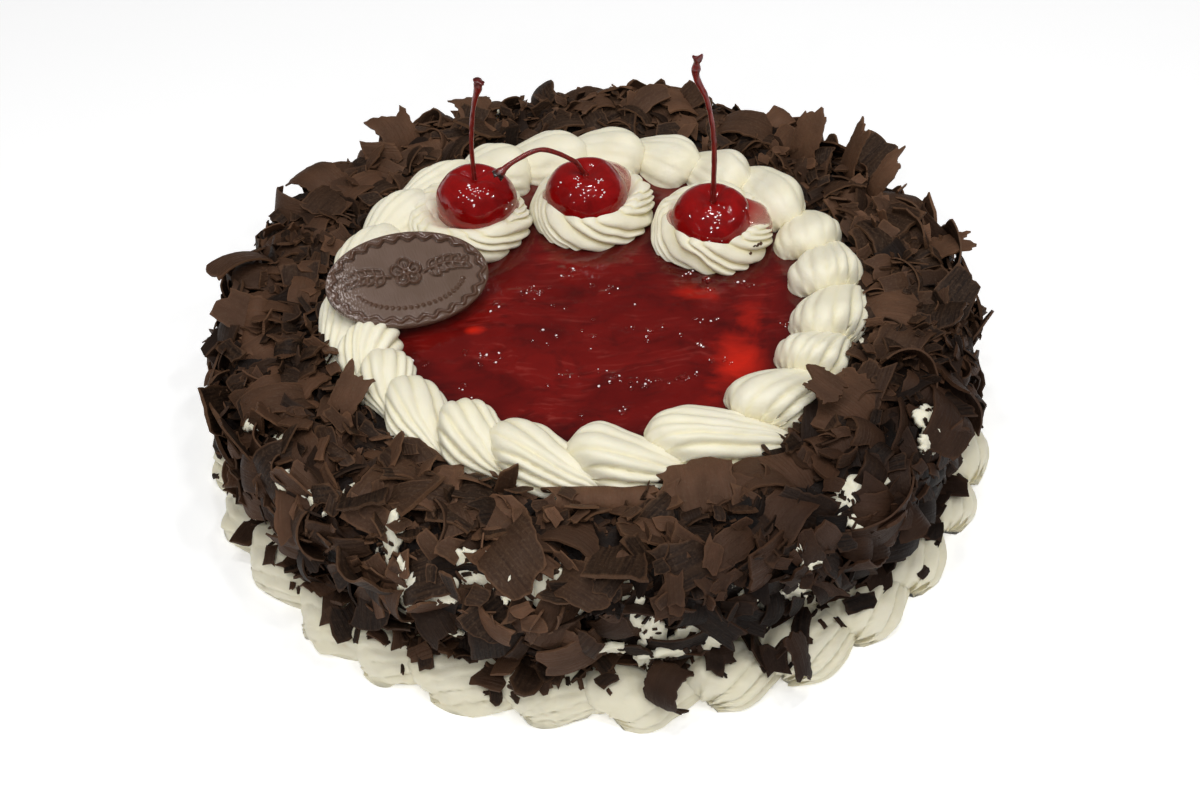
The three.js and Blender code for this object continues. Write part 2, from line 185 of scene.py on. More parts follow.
class CakeColours(bpy.types.PropertyGroup):
    """Colours of the cake's finishes."""

    cream: bpy.props.FloatVectorProperty(
        name="Whipped cream", description="Colour of the cream in full light",
        subtype="COLOR", size=4, default=linear("#f5efd9"), min=0, max=1)
    # painted shade: the yellower, darker colour deep in the piped grooves
    cream_groove_shade: bpy.props.FloatVectorProperty(
        name="Cream grooves", description="Yellower colour deep in the piped grooves",
        subtype="COLOR", size=4, default=linear("#e6dba6"), min=0, max=1)
    shaving: bpy.props.FloatVectorProperty(
        name="Chocolate shavings", description="Middle colour of the shavings",
        subtype="COLOR", size=4, default=linear("#3a2619"), min=0, max=1)
    jelly: bpy.props.FloatVectorProperty(
        name="Cherry jelly", description="Colour of the jelly where it is deep",
        subtype="COLOR", size=4, default=linear("#5e0a08"), min=0, max=1)
    cherry: bpy.props.FloatVectorProperty(
        name="Cherries", description="Colour of the candied cherries",
        subtype="COLOR", size=4, default=linear("#7c0505"), min=0, max=1)
    plaque: bpy.props.FloatVectorProperty(
        name="Plaque", description="Colour of the moulded chocolate",
        subtype="COLOR", size=4, default=linear("#664f42"), min=0, max=1)


class CakeSizes(bpy.types.PropertyGroup):
    """Sizes of the cake's dressing."""

    ring_width: bpy.props.FloatProperty(
        name="Ring half width", description="Half the width of a shell of the top ring",
        unit="LENGTH", default=9.4 * MM, min=2 * MM, max=20 * MM)
    ring_height: bpy.props.FloatProperty(
        name="Ring height", description="Height of the top ring above the coat",
        unit="LENGTH", default=13.8 * MM, min=2 * MM, max=30 * MM)
    foot_width: bpy.props.FloatProperty(
        name="Foot half width", description="Half the width of a shell of the foot border",
        unit="LENGTH", default=9.6 * MM, min=2 * MM, max=20 * MM)
    foot_height: bpy.props.FloatProperty(
        name="Foot height", description="Height of the foot border above the underside",
        unit="LENGTH", default=12.2 * MM, min=2 * MM, max=30 * MM)
    shaving_thickness: bpy.props.FloatProperty(
        name="Shaving thickness", description="Thickness of a chocolate shaving",
        unit="LENGTH", default=1.0 * MM, min=0.2 * MM, max=3 * MM)
    seed: bpy.props.IntProperty(
        name="Seed", description="Seed of every scattered thing", default=7, min=0)


# ------------------------------------------------------------------ mesh tools

LATTICE = (73856093, 19349663, 83492791)  # primes that make a lattice point a number
SEED_STEP = 26544357
MIXER = 1274126177
LOW_BITS = 0xFFFFFFFF


def noise(points, size, seed):
    """Smooth noise from -1 to 1 at points, with bumps of about that size."""
    cell = np.asarray(points, float) / size
    base = np.floor(cell).astype(np.int64)
    part = cell - base
    part = part * part * (3 - 2 * part)
    total = np.zeros(len(cell))
    for corner in range(8):
        step = np.array([(corner >> axis) & 1 for axis in range(3)])
        key = ((base + step) * LATTICE).sum(axis=1) + seed * SEED_STEP
        key = (key ^ (key >> 13)) * MIXER & LOW_BITS
        key = (key ^ (key >> 16)) & LOW_BITS
        weight = np.prod(np.where(step, part, 1 - part), axis=1)
        total += weight * (key / (LOW_BITS >> 1) - 1)
    return total


def smooth_rows(knots, shares):
    """Rows of a smooth curve through knots, whose first column is the share along it."""
    rows = []
    for share in shares:
        after = int(np.clip(np.searchsorted(knots[:, 0], share), 1, len(knots) - 1))
        one, two = knots[after - 1], knots[after]
        before = knots[max(after - 2, 0)]
        beyond = knots[min(after + 1, len(knots) - 1)]
        span = two[0] - one[0]
        lead = (two - before) / max(two[0] - before[0], 1e-6) * span
        trail = (beyond - one) / max(beyond[0] - one[0], 1e-6) * span
        t = (share - one[0]) / span
        rows.append(
            (2 * t**3 - 3 * t**2 + 1) * one + (t**3 - 2 * t**2 + t) * lead
            + (3 * t**2 - 2 * t**3) * two + (t**3 - t**2) * trail)
    return np.array(rows)[:, 1:]


def grid_faces(rows, columns, closed=True, start=0):
    """Quads over rows of points, each row a ring if closed."""
    faces = []
    for row in range(rows - 1):
        for column in range(columns if closed else columns - 1):
            beside = (column + 1) % columns
            low, high = start + row * columns, start + (row + 1) * columns
            faces.append((low + column, low + beside, high + beside, high + column))
    return faces


def neighbours(ring):
    """Each index of a ring with the next one."""
    return zip(ring, [*ring[1:], ring[0]])


def fan(ring, pole, outwards=True):
    """Triangles from a ring of indices to a pole."""
    return [(a, b, pole) if outwards else (b, a, pole) for a, b in neighbours(ring)]


def tube_faces(rows, columns, flipped=False):
    """Faces of a tube, closed by the two poles that follow its points."""
    count = rows * columns
    faces = grid_faces(rows, columns)
    if flipped:
        faces = [face[::-1] for face in faces]
    faces += fan(range(columns), count, outwards=flipped)
    return faces + fan(range(count - columns, count), count + 1, outwards=not flipped)


def globe_faces(rows, columns):
    """Faces of a round thing whose points run from one pole to the other."""
    top = rows * columns + 1
    faces = grid_faces(rows, columns, start=1)
    faces += fan(range(1, columns + 1), 0, outwards=False)
    return faces + fan(range(top - columns, top), top)


def joined(parts):
    """Points and faces of many shapes as one."""
    points, faces, start = [], [], 0
    for own, own_faces in parts:
        points.append(own)
        faces += [tuple(index + start for index in face) for face in own_faces]
        start += len(own)
    return np.vstack(points), faces


def bearings(columns):
    """Equal steps round a circle, in radians."""
    return np.linspace(0, 2 * math.pi, columns, endpoint=False)


def circle(radius, height, around, middle=(0, 0)):
    """Points round a middle, each at its bearing."""
    return np.stack([
        middle[0] + radius * np.cos(around), middle[1] + radius * np.sin(around),
        np.broadcast_to(height, around.shape)], axis=1)


def with_poles(points, columns):
    """The points of a tube, then the middles of its first and its last ring."""
    return np.vstack([points, points[:columns].mean(axis=0), points[-columns:].mean(axis=0)])


def turned(points, matrix):
    """Points carried by a matrix."""
    grid = np.array(matrix)
    return np.asarray(points) @ grid[:3, :3].T + grid[:3, 3]


def spun(matrix, *turns):
    """A matrix turned about its own axes, one after the other."""
    for axis, angle in turns:
        matrix = matrix @ Matrix.Rotation(angle, 4, axis)
    return matrix


def carry(mesh, key, values):
    """Keeps a number or a vector at each point of a mesh."""
    values = np.asarray(values, np.float32)
    is_vector = values.ndim == 2
    slot = mesh.attributes.new(key, "FLOAT_VECTOR" if is_vector else "FLOAT", "POINT")
    slot.data.foreach_set("vector" if is_vector else "value", values.ravel())


def make_mesh(name, points, faces, carried=None):
    """A smooth object from points in millimetres, with named values at its points."""
    mesh = bpy.data.meshes.new(name)
    mesh.from_pydata((np.asarray(points, float) * MM).tolist(), [], faces)
    for key, values in (carried or {}).items():
        carry(mesh, key, values)
    mesh.shade_smooth()
    mesh.update()
    made = bpy.data.objects.new(name, mesh)
    bpy.context.scene.collection.objects.link(made)
    return made


def mesh_points(made):
    """The points of an object's mesh, in millimetres."""
    flat = np.empty(len(made.data.vertices) * 3, np.float32)
    made.data.vertices.foreach_get("co", flat)
    return flat.reshape(-1, 3).astype(float) / MM


def move_points(made, points):
    """Puts an object's mesh points at new places, in millimetres."""
    made.data.vertices.foreach_set("co", (points * MM).astype(np.float32).ravel())
    made.data.update()


def unsettle(made, steps, seed):
    """Shifts an object's points by smooth noise; steps pair a bump size and a shift."""
    points = mesh_points(made)
    floor = points[:, 2].min()
    moved = points.copy()
    for index, (size, shift) in enumerate(steps):
        for axis in range(3):
            moved[:, axis] += shift * noise(points, size, seed + 10 * index + axis)
    moved[:, 2] = np.maximum(moved[:, 2], floor)
    move_points(made, moved)


def ground_of(name):
    """The triangles of a finished piece, for finding places on it, in millimetres."""
    made = bpy.data.objects[name]
    made.data.calc_loop_triangles()
    return BVHTree.FromPolygons(
        [tuple(point) for point in mesh_points(made)],
        [tuple(triangle.vertices) for triangle in made.data.loop_triangles])


def drop(ground, x, y, height=90):
    """Where a plumb line from that height meets a ground, and the way the ground faces."""
    return ground.ray_cast(Vector((x, y, height)), Vector((0, 0, -1)))[:2]


def lie_on(normal):
    """A turn that brings +Z onto a normal."""
    return normal.to_track_quat("Z", "Y")


def settle(piece, slot, *nodes, material=None):
    """Hands a finished piece to the frame, in place of the solids that it stands for."""
    if material is not None:
        piece.data.materials.append(material)
    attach(piece, "root")
    if nodes:
        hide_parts(*nodes)


def settle_chocolate(piece, material=None):
    """Hands over shavings, with their torn rims kept crisp."""
    piece.data.set_sharp_from_angle(angle=SHARP)
    settle(piece, "shavings", material=material)


# ------------------------------------------------------------------ materials


def add(tree, kind, inputs=None, **settings):
    """A node with its settings, and its inputs set or linked."""
    made = tree.nodes.new(kind)
    for key, value in settings.items():
        setattr(made, key, value)
    for key, value in (inputs or {}).items():
        if isinstance(value, bpy.types.NodeSocket):
            tree.links.new(value, made.inputs[key])
        else:
            made.inputs[key].default_value = value
    return made


def start_material(name, **inputs):
    """A material with one Principled shader; inputs are its plain values."""
    made = bpy.data.materials.new(name)
    made.use_nodes = True
    tree = made.node_tree
    tree.nodes.clear()
    shader = add(tree, "ShaderNodeBsdfPrincipled", {
        key.replace("_", " ").title().replace("Ior", "IOR"): value
        for key, value in inputs.items()})
    add(tree, "ShaderNodeOutputMaterial", {"Surface": shader.outputs["BSDF"]})
    return made, tree, shader


def place(tree, name=None):
    """Where a pattern is read: Object coordinates, or a named value kept on the mesh."""
    if name is None:
        return add(tree, "ShaderNodeTexCoord").outputs["Object"]
    return add(tree, "ShaderNodeAttribute", attribute_name=name).outputs["Vector"]


def kept(tree, name):
    """A number kept on the mesh."""
    return add(tree, "ShaderNodeAttribute", attribute_name=name).outputs["Fac"]


def maths(tree, operation, one, two):
    """Two numbers added, multiplied or compared."""
    return add(tree, "ShaderNodeMath", {0: one, 1: two}, operation=operation).outputs[0]


def vectors(tree, operation, one, two, output="Vector"):
    """Two vectors added, subtracted or multiplied."""
    return add(
        tree, "ShaderNodeVectorMath", {0: one, 1: two}, operation=operation).outputs[output]


def paint(tree, shader, patterns):
    """Links patterns to the inputs of a shader."""
    for key, pattern in patterns.items():
        tree.links.new(pattern, shader.inputs[key])


def grain(tree, where, size, stretch=(1, 1, 1), detail=2.0, roughness=0.5, span=MM):
    """Noise whose bumps have that size in millimetres, drawn out by stretch."""
    scale = tuple(1 / (size * span * axis) for axis in stretch)
    spread = add(tree, "ShaderNodeMapping", {"Vector": where, "Scale": scale})
    return add(tree, "ShaderNodeTexNoise", {
        "Vector": spread.outputs["Vector"], "Scale": 1.0, "Detail": detail,
        "Roughness": roughness}).outputs["Fac"]


def swirled(tree, where, size, shift):
    """Coordinates pushed about by noise of that size, up to that shift in millimetres."""
    cloud = add(tree, "ShaderNodeTexNoise", {
        "Vector": where, "Scale": 1 / (size * MM), "Detail": 2.0}).outputs["Color"]
    centred = vectors(tree, "SUBTRACT", cloud, (0.5, 0.5, 0.5))
    pushed = add(tree, "ShaderNodeVectorMath", {
        0: centred, "Scale": 2 * shift * MM}, operation="SCALE").outputs["Vector"]
    return vectors(tree, "ADD", where, pushed)


def steer(tree, driver, low, high, to_low=0.0, to_high=1.0):
    """A value brought from one range into another and kept inside it."""
    return add(tree, "ShaderNodeMapRange", {
        "Value": driver, "From Min": low, "From Max": high,
        "To Min": to_low, "To Max": to_high}).outputs["Result"]


def blend(tree, share, one, two, mode="MIX"):
    """One colour mixed into another by a share; each is a hex value, an RGBA or a pattern."""
    one, two = (linear(given) if isinstance(given, str) else given for given in (one, two))
    return add(
        tree, "ShaderNodeMix", {0: share, 6: one, 7: two}, data_type="RGBA",
        blend_type=mode).outputs[2]


def bump(tree, height, depth, below=None):
    """A bump of that depth in millimetres, over another one if given."""
    inputs = {"Height": height, "Strength": 1.0, "Distance": depth * MM}
    if below is not None:
        inputs["Normal"] = below
    return add(tree, "ShaderNodeBump", inputs).outputs["Normal"]


def whipped_cream(name="whipped cream", painted_shade=0.0, groove_shade_share=1.0):
    """Dairy cream piped through a star nozzle, greyed by a share of painted shade.

    Tiny air bubbles scatter light far into it, so shadows are soft and pale. Deep in the
    grooves between ridges it has a painted shade, yellower and darker, by another share.
    It is dull with a faint fatty sheen.
    """
    colours = bpy.context.scene.cake_colours
    made, tree, shader = start_material(
        name, roughness=0.48, ior=1.45, subsurface_weight=0.22, subsurface_scale=2.2 * MM,
        subsurface_radius=(1.0, 0.86, 0.62))
    # painted shade deep in the grooves, by its share
    depth = steer(tree, kept(tree, "groove"), 0.15, 0.85, groove_shade_share, 0.0)
    groove_shaded = blend(tree, depth, tuple(colours.cream), tuple(colours.cream_groove_shade))
    cloud = grain(tree, place(tree), 9.0, detail=3.0)
    uneven = blend(tree, steer(tree, cloud, 0.35, 0.75, 0.0, 0.35), groove_shaded, "#efe6bd")
    pores = grain(tree, place(tree), 0.9, detail=3.0, roughness=0.6)
    paint(tree, shader, {
        # painted shade: greys the cream by its share
        "Base Color": blend(tree, painted_shade, uneven, "#b9b298"),
        "Normal": bump(tree, pores, 0.10)})
    return made


def dark_chocolate(name="shaved dark chocolate", low_shade_share=0.7):
    """Couverture scraped off a block with a blade.

    The blade leaves fine lines along each shaving, thin edges get a lighter, redder painted
    highlight, and rubbed cocoa butter gives a dull greyish face that differs from shaving
    to shaving. It has painted shade deep in the heap, more painted shade by a share where
    it lies low, and a little painted shade at the cake's left and at its front right.
    """
    base = tuple(bpy.context.scene.cake_colours.shaving)
    made, tree, shader = start_material(
        name, roughness=0.62, ior=1.46, specular_ior_level=0.17)
    tone = kept(tree, "tone")
    own_part = add(tree, "ShaderNodeCombineXYZ", {
        "X": steer(tree, tone, 0, 1, 0, 900), "Y": steer(tree, tone, 0, 1, 0, 700)})
    along = vectors(tree, "ADD", place(tree, "grain"), own_part.outputs["Vector"])
    lines = grain(tree, along, 0.85, stretch=(14, 1, 1), detail=3.0, roughness=0.6, span=1)
    dull = grain(tree, along, 5.0, stretch=(1.6, 1, 1), detail=3.0, span=1)
    specks = grain(tree, place(tree), 0.8, detail=2.0)
    ways = add(tree, "ShaderNodeSeparateXYZ", {"Vector": place(tree)}).outputs
    low = steer(tree, ways["Z"], 44 * MM, 14 * MM, 0.0, low_shade_share)
    low_shade = maths(tree, "MULTIPLY", low, steer(tree, tone, 0.6, 0.9, 1.0, 0.4))
    front_right_shade = vectors(tree, "DOT_PRODUCT", place(tree), (0.7, -0.71, 0), output="Value")
    shade = blend(tree, 0.82, base, blend(
        tree, steer(tree, tone, 0.2, 1.0), "#120a07", "#7a5640"))
    for share, colour, mode in (
            (steer(tree, dull, 0.3, 0.7, 0.0, 0.45), "#261a13", "MIX"),
            (steer(tree, lines, 0.35, 0.7, 0.0, 0.45), "#58402d", "MIX"),
            (steer(tree, specks, 0.52, 0.75, 0.0, 0.36), "#64503f", "MIX"),
            # painted highlight: lighter, redder thin rims
            (steer(tree, kept(tree, "edge"), 0.6, 1.0, 0.0, 0.4), "#7a583f", "MIX"),
            # painted shade: near black deep in the heap, between the shavings
            (steer(tree, kept(tree, "deep"), 0.2, 0.9, 0.0, 0.84), "#0a0605", "MIX"),
            # painted shade: darker where the shavings lie low
            (low_shade, "#120b08", "MIX"),
            # painted shade: darker at the front right
            (steer(tree, front_right_shade, 69 * MM, 100 * MM), "#b0aaa8", "MULTIPLY"),
            # painted shade: a little darker at the cake's left
            (steer(tree, ways["X"], -50 * MM, -92 * MM), "#e4e1df", "MULTIPLY")):
        shade = blend(tree, share, shade, colour, mode)
    paint(tree, shader, {
        "Base Color": shade, "Roughness": steer(tree, dull, 0.25, 0.75, 0.52, 0.74),
        "Normal": bump(tree, lines, 0.4, bump(tree, specks, 0.16))})
    return made


def dust_and_shade_coat():
    """The cream coat under the shavings, mostly hidden by pressed-in chocolate dust, which is
    painted near black as the shade in the gaps between the shavings.
    """
    cream = tuple(bpy.context.scene.cake_colours.cream)
    made, tree, shader = start_material(
        "dusted and shaded cream coat", roughness=0.6, ior=1.45, specular_ior_level=0.3)
    specks = grain(tree, place(tree), 1.6, detail=4.0, roughness=0.7)
    clean = steer(tree, maths(tree, "ADD", kept(tree, "bare"), specks), 1.0, 1.12)
    # chocolate dust, painted near black as the shade in the gaps between the shavings
    dust_and_shade = blend(tree, specks, "#0b0605", "#22160f")
    paint(tree, shader, {
        "Base Color": blend(tree, clean, dust_and_shade, cream), "Normal": bump(tree, specks, 0.7)})
    return made


def cherry_jelly():
    """Set cherry glaze, spread with a palette knife.

    It is clear and deep red, with painted light where light shines through it and painted
    shade at its edge and beside the cream that stands in it. Its face is wet and dragged
    into faint streaks, with pale streaks of a dull skin painted as a sheen.
    """
    deep = tuple(bpy.context.scene.cake_colours.jelly)
    made, tree, shader = start_material(
        "cherry jelly", roughness=0.3, ior=1.45, specular_ior_level=0.1, coat_weight=0.7,
        coat_roughness=0.07, coat_ior=1.5)
    where = swirled(tree, place(tree), 30.0, 11.0)
    streaks = grain(tree, where, 12.0, stretch=(1.6, 1, 1), detail=3.0, roughness=0.5)
    clots = grain(tree, where, 4.6, stretch=(1.5, 1, 1), detail=4.0, roughness=0.5)
    skin_sheen = grain(tree, swirled(tree, place(tree), 34.0, 9.0), 1.5, stretch=(12, 1, 1))
    glow = kept(tree, "glow")
    ragged = maths(
        tree, "ADD", steer(tree, streaks, 0.3, 0.7, -0.1, 0.12),
        steer(tree, clots, 0.3, 0.7, 0.14, -0.16))
    # painted light: where light shines through, broken up by the streaks and clots
    thin = steer(tree, maths(tree, "ADD", glow, ragged), 0.25, 0.95)
    shade = blend(tree, steer(tree, streaks, 0.33, 0.68), deep, "#78120e")
    for share, colour in (
            (steer(tree, clots, 0.5, 0.72, 0.0, 0.6), "#400807"),
            # pale streaks of a dull skin, painted as a sheen
            (maths(tree, "MULTIPLY", steer(tree, skin_sheen, 0.55, 0.8),
                   steer(tree, streaks, 0.44, 0.6, 0.0, 0.5)), "#a4443c"),
            # painted light: brighter red where light shines through
            (maths(tree, "MULTIPLY", thin, steer(tree, glow, 0.04, 0.3)), "#c62211"),
            # painted shade: darker at the edge under the ring and beside the nests
            (kept(tree, "rim"), "#2c0507")):
        shade = blend(tree, share, shade, colour)
    paint(tree, shader, {
        "Base Color": shade, "Normal": bump(tree, streaks, 0.35),
        "Coat Normal": bump(tree, clots, 0.25)})
    return made


def painted_glints():
    """Painted glints: white beads that stand in for highlights, set like air bubbles just under
    the face of the jelly and on the cherries.
    """
    return start_material(
        "painted glint beads", base_color=linear("#fff2f4"), roughness=0.15, coat_weight=1.0,
        coat_roughness=0.1)[0]


def cherry_flesh():
    """A candied cherry: clear dyed flesh under a tight, wet, slightly dented skin, with a painted
    reflection on its top and painted light low on its side.
    """
    flesh = tuple(bpy.context.scene.cake_colours.cherry)
    made, tree, shader = start_material(
        "candied cherry", roughness=0.4, ior=1.4, specular_ior_level=0.05,
        coat_weight=0.9, coat_roughness=0.09, coat_ior=1.5, subsurface_weight=0.25,
        subsurface_scale=2.5 * MM, subsurface_radius=(1.0, 0.08, 0.05))
    cloud = grain(tree, swirled(tree, place(tree), 9.0, 6.0), 5.0, detail=3.0)
    height = kept(tree, "rise")
    mottled = blend(tree, steer(tree, cloud, 0.35, 0.68), flesh, "#980a0b")
    # painted reflection: a lighter, pinker top
    lit_crown = blend(tree, steer(tree, height, 0.75, 1.0, 0.0, 0.35), mottled, "#a01412")
    # painted light: brighter red low down, where light shines through
    lit_below = blend(tree, steer(tree, height, 0.25, 0.5, 0.45, 0.0), lit_crown, "#c01210")
    skin = grain(tree, place(tree), 2.2, detail=1.0)
    paint(tree, shader, {"Base Color": lit_below, "Coat Normal": bump(tree, skin, 0.07)})
    return made


def cherry_syrup():
    """Dyed sugar syrup that has run from a cherry onto the cream.

    It is thin, pink and wet, deepest beside the cherry, with a darker line where its edge
    bends the light.
    """
    made, tree, shader = start_material(
        "cherry syrup", roughness=0.05, ior=1.4, coat_weight=0.6, coat_roughness=0.02)
    depth = kept(tree, "depth")
    shade = blend(tree, steer(tree, depth, 0.2, 1.0), "#cf8474", "#9c0e0c")
    # painted shade: a darker line at the edge, where it bends the light
    lined = blend(tree, steer(tree, depth, 0.0, 0.16, 1.0, 0.0), shade, "#b3564c")
    body = steer(tree, depth, 0.15, 0.9, 0.42, 0.95)
    line = steer(tree, depth, 0.0, 0.14, 0.7, 0.0)
    paint(tree, shader, {"Base Color": lined, "Alpha": maths(tree, "MAXIMUM", body, line)})
    return made


def cherry_stalk():
    """A dyed cherry stalk: woody, wet with syrup, and black where it was cut."""
    made, tree, shader = start_material(
        "cherry stalk", roughness=0.3, ior=1.45, coat_weight=0.5, coat_roughness=0.12)
    strands = grain(tree, place(tree), 0.6, stretch=(1, 1, 9), detail=3.0)
    wood = blend(tree, steer(tree, strands, 0.3, 0.7), "#560f0b", "#8a1d14")
    paint(tree, shader, {
        "Base Color": blend(tree, kept(tree, "cut"), wood, "#1c0f0d"),
        "Normal": bump(tree, strands, 0.12)})
    return made


def moulded_chocolate():
    """Dark chocolate cast in a plastic mould: satin, greyed by bloom, with painted shade on its
    raised strokes and in the moats and corners beside them.

    Its left end has painted glints in fine flecks.
    """
    base = tuple(bpy.context.scene.cake_colours.plaque)
    made, tree, shader = start_material(
        "moulded dark chocolate", roughness=0.36, ior=1.5, specular_ior_level=0.22,
        coat_weight=0.1, coat_roughness=0.1)
    relief = kept(tree, "relief")
    face = place(tree, "flat")
    brushed = grain(tree, face, 0.5, stretch=(1, 5, 1), span=1)
    cloud = grain(tree, face, 9.0, detail=3.0, span=1)
    ripples = grain(tree, face, 0.45, stretch=(1, 2.2, 1), detail=1.0, span=1)
    flecks = grain(tree, face, 1.1, detail=1.0, span=1)
    left = add(tree, "ShaderNodeSeparateXYZ", {"Vector": face}).outputs["X"]
    glints = blend(
        tree, steer(tree, relief, 0.2, 0.8), steer(tree, ripples, 0.5, 0.62, 0.0, 0.75),
        steer(tree, flecks, 0.57, 0.66))
    shade = base
    for share, colour in (
            (steer(tree, cloud, 0.3, 0.7, 0.0, 0.5), "#54402f"),
            # painted shade: darker on the raised strokes
            (steer(tree, relief, 0.1, 1.0), "#553a2b"),
            # painted shade: darker in the moats and corners
            (steer(tree, relief, -1.0, 0.0, 0.8, 0.0), "#2b1a12"),
            # painted glints: light flecks at the left end
            (maths(tree, "MULTIPLY", steer(tree, left, -13.0, -22.5), glints), "#d3c6c1")):
        shade = blend(tree, share, shade, colour)
    ribbed = bump(tree, brushed, 0.045)
    paint(tree, shader, {
        "Base Color": shade, "Roughness": steer(tree, cloud, 0.3, 0.7, 0.3, 0.44),
        "Coat Weight": steer(tree, relief, 0.02, 0.3, 0.1, 0.8), "Normal": ribbed,
        "Coat Normal": ribbed})
    return made


def plain_floor():
    """A matt white sheet on a light table that is turned low."""
    return start_material(
        "matt white sheet", base_color=(1, 1, 1, 1), roughness=0.9, specular_ior_level=0.1,
        emission_color=(1, 1, 1, 1), emission_strength=0.22)[0]


# ------------------------------------------------------------------ repeating things


def scatter_tree():
    """Geometry Nodes that set one of a collection's shapes on each point.

    Each point names its shape, turn and size, and each thing that is set down gets a tone
    of its own from the seed.
    """
    tree = bpy.data.node_groups.new("set down shapes", "GeometryNodeTree")
    for name, way, kind in (
            ("Geometry", "INPUT", "Geometry"), ("Shapes", "INPUT", "Collection"),
            ("Seed", "INPUT", "Int"), ("Material", "INPUT", "Material"),
            ("Geometry", "OUTPUT", "Geometry")):
        tree.interface.new_socket(name, in_out=way, socket_type="NodeSocket" + kind)

    def named(name, kind):
        return add(tree, "GeometryNodeInputNamedAttribute", {"Name": name},
                   data_type=kind).outputs["Attribute"]

    given = add(tree, "NodeGroupInput").outputs
    points = add(tree, "GeometryNodeMeshToPoints", {"Mesh": given["Geometry"]})
    shapes = add(tree, "GeometryNodeCollectionInfo", {
        "Collection": given["Shapes"], "Separate Children": True, "Reset Children": True})
    turn = add(tree, "FunctionNodeEulerToRotation", {"Euler": named("turn", "FLOAT_VECTOR")})
    placed = add(tree, "GeometryNodeInstanceOnPoints", {
        "Points": points.outputs["Points"], "Instance": shapes.outputs["Instances"],
        "Pick Instance": True, "Instance Index": named("shape", "INT"),
        "Rotation": turn.outputs["Rotation"], "Scale": named("size", "FLOAT_VECTOR")})
    draw = add(tree, "FunctionNodeRandomValue", {"Seed": given["Seed"]}, data_type="FLOAT")
    toned = add(tree, "GeometryNodeStoreNamedAttribute", {
        "Geometry": placed.outputs["Instances"], "Name": "tone",
        "Value": draw.outputs[1]}, data_type="FLOAT", domain="INSTANCE")
    real = add(tree, "GeometryNodeRealizeInstances", {"Geometry": toned.outputs["Geometry"]})
    finished = add(tree, "GeometryNodeSetMaterial", {
        "Geometry": real.outputs["Geometry"], "Material": given["Material"]})
    add(tree, "NodeGroupOutput", {"Geometry": finished.outputs["Geometry"]})
    return tree


def set_down(name, shapes, places, material, seed):
    """One mesh of many shapes.

    Places holds the point, shape, turn and size of each, and how deep in the heap it lies,
    which sets the painted shade of the shavings.
    """
    points, kinds, turns, sizes, depths = (np.array(column) for column in zip(*places))
    carrier = make_mesh(name + "_points", points, [])
    carrier.data.attributes.new("shape", "INT", "POINT").data.foreach_set(
        "value", kinds.astype(int))
    for key, values in (("deep", depths), ("turn", turns), ("size", sizes)):
        carry(carrier.data, key, values)
    holder = bpy.data.collections.new(name + "_shapes")
    bpy.context.scene.collection.children.link(holder)
    for index, shape in enumerate(shapes):
        bpy.context.scene.collection.objects.unlink(shape)
        shape.name = f"{name}_shape_{index:02d}"
        holder.objects.link(shape)
    tree = bpy.data.node_groups.get("set down shapes") or scatter_tree()
    modifier = carrier.modifiers.new("set down shapes", "NODES")
    modifier.node_group = tree
    identifiers = {
        item.name: item.identifier for item in tree.interface.items_tree
        if item.in_out == "INPUT"}
    for key, given in (("Shapes", holder), ("Seed", seed), ("Material", material)):
        modifier[identifiers[key]] = given
    graph = bpy.context.evaluated_depsgraph_get()
    mesh = bpy.data.meshes.new_from_object(carrier.evaluated_get(graph))
    if not mesh.polygons:
        raise RuntimeError(f"{name} came out empty")
    mesh.name = name
    made = bpy.data.objects.new(name, mesh)
    bpy.context.scene.collection.objects.link(made)
    for old in [*holder.objects, carrier]:
        bpy.data.objects.remove(old)
    bpy.data.collections.remove(holder)
    return made


# ------------------------------------------------------------------ piped cream


def ridge(turns):
    """Height of a piped ridge from 0 in the groove to 1 on the crest; one turn a ridge."""
    return np.abs(np.sin(np.pi * turns)) ** 0.62


def shell_shape(name, phase, soft, twist, inner, drift=SHELL_DRIFT):
    """One piped shell about one unit long, wide and high, pointing along +X.

    Soft is its share of the full groove depth, twist how many ridges wind outwards on
    their way to the tail, inner the share of the groove depth that the inner side has,
    and drift how far the tail turns outwards.
    """
    stations = np.linspace(0, 1, 34) ** 1.05
    rows = smooth_rows(SHELL_PROFILE, stations)
    across = np.linspace(-SHELL_TUCK, math.pi + SHELL_TUCK, SHELL_RIBS * 9 + 1)
    uneven = 0.3 * np.sin(2.3 * across + 9 * phase)
    facing = np.cos(across)
    outer = np.where(
        facing > 0, SHELL_CREST + (1 - SHELL_CREST) * facing,
        SHELL_CREST + (inner - SHELL_CREST) * -facing)
    points, grooves = [], []
    for station, (along, half, rise) in zip(stations, rows):
        lobes = ridge(
            SHELL_RIBS * (across / math.pi) + uneven + phase + twist * (station - 0.3))
        depth = SHELL_GROOVE * soft * outer * min(1.0, 0.8 + 2.0 * station)
        depth = depth * (1 - 0.4 * station)
        swell = 1 - depth * (1 - lobes)
        middle = 0.24 * rise
        side = -np.cos(across) * half * swell
        up = middle + np.sin(across) * (rise - middle) * swell
        lag = np.maximum(-side, -0.1 * side) - 0.2
        forward = along + SHELL_SLANT * lag * (1 - 0.4 * station)
        forward = forward + 0.11 * (lobes - 1) * (1 - station) ** 2 * soft * outer
        forward = forward + SHELL_ROUND * side**2 * (1 - station) ** 1.5
        side = np.where(side > 0, side * (1 + 0.5 * station), side)
        side = side - drift * station**1.7
        points.append(np.stack([forward, side, np.maximum(up, 0)], axis=1))
        grooves.append(1 - (1 - lobes) * (1 - 0.5 * station) * soft * outer)
    points = with_poles(np.concatenate(points), len(across))
    return make_mesh(name, points, tube_faces(len(rows), len(across), flipped=True), {
        "groove": np.append(np.concatenate(grooves), [0.5, 0.5])})


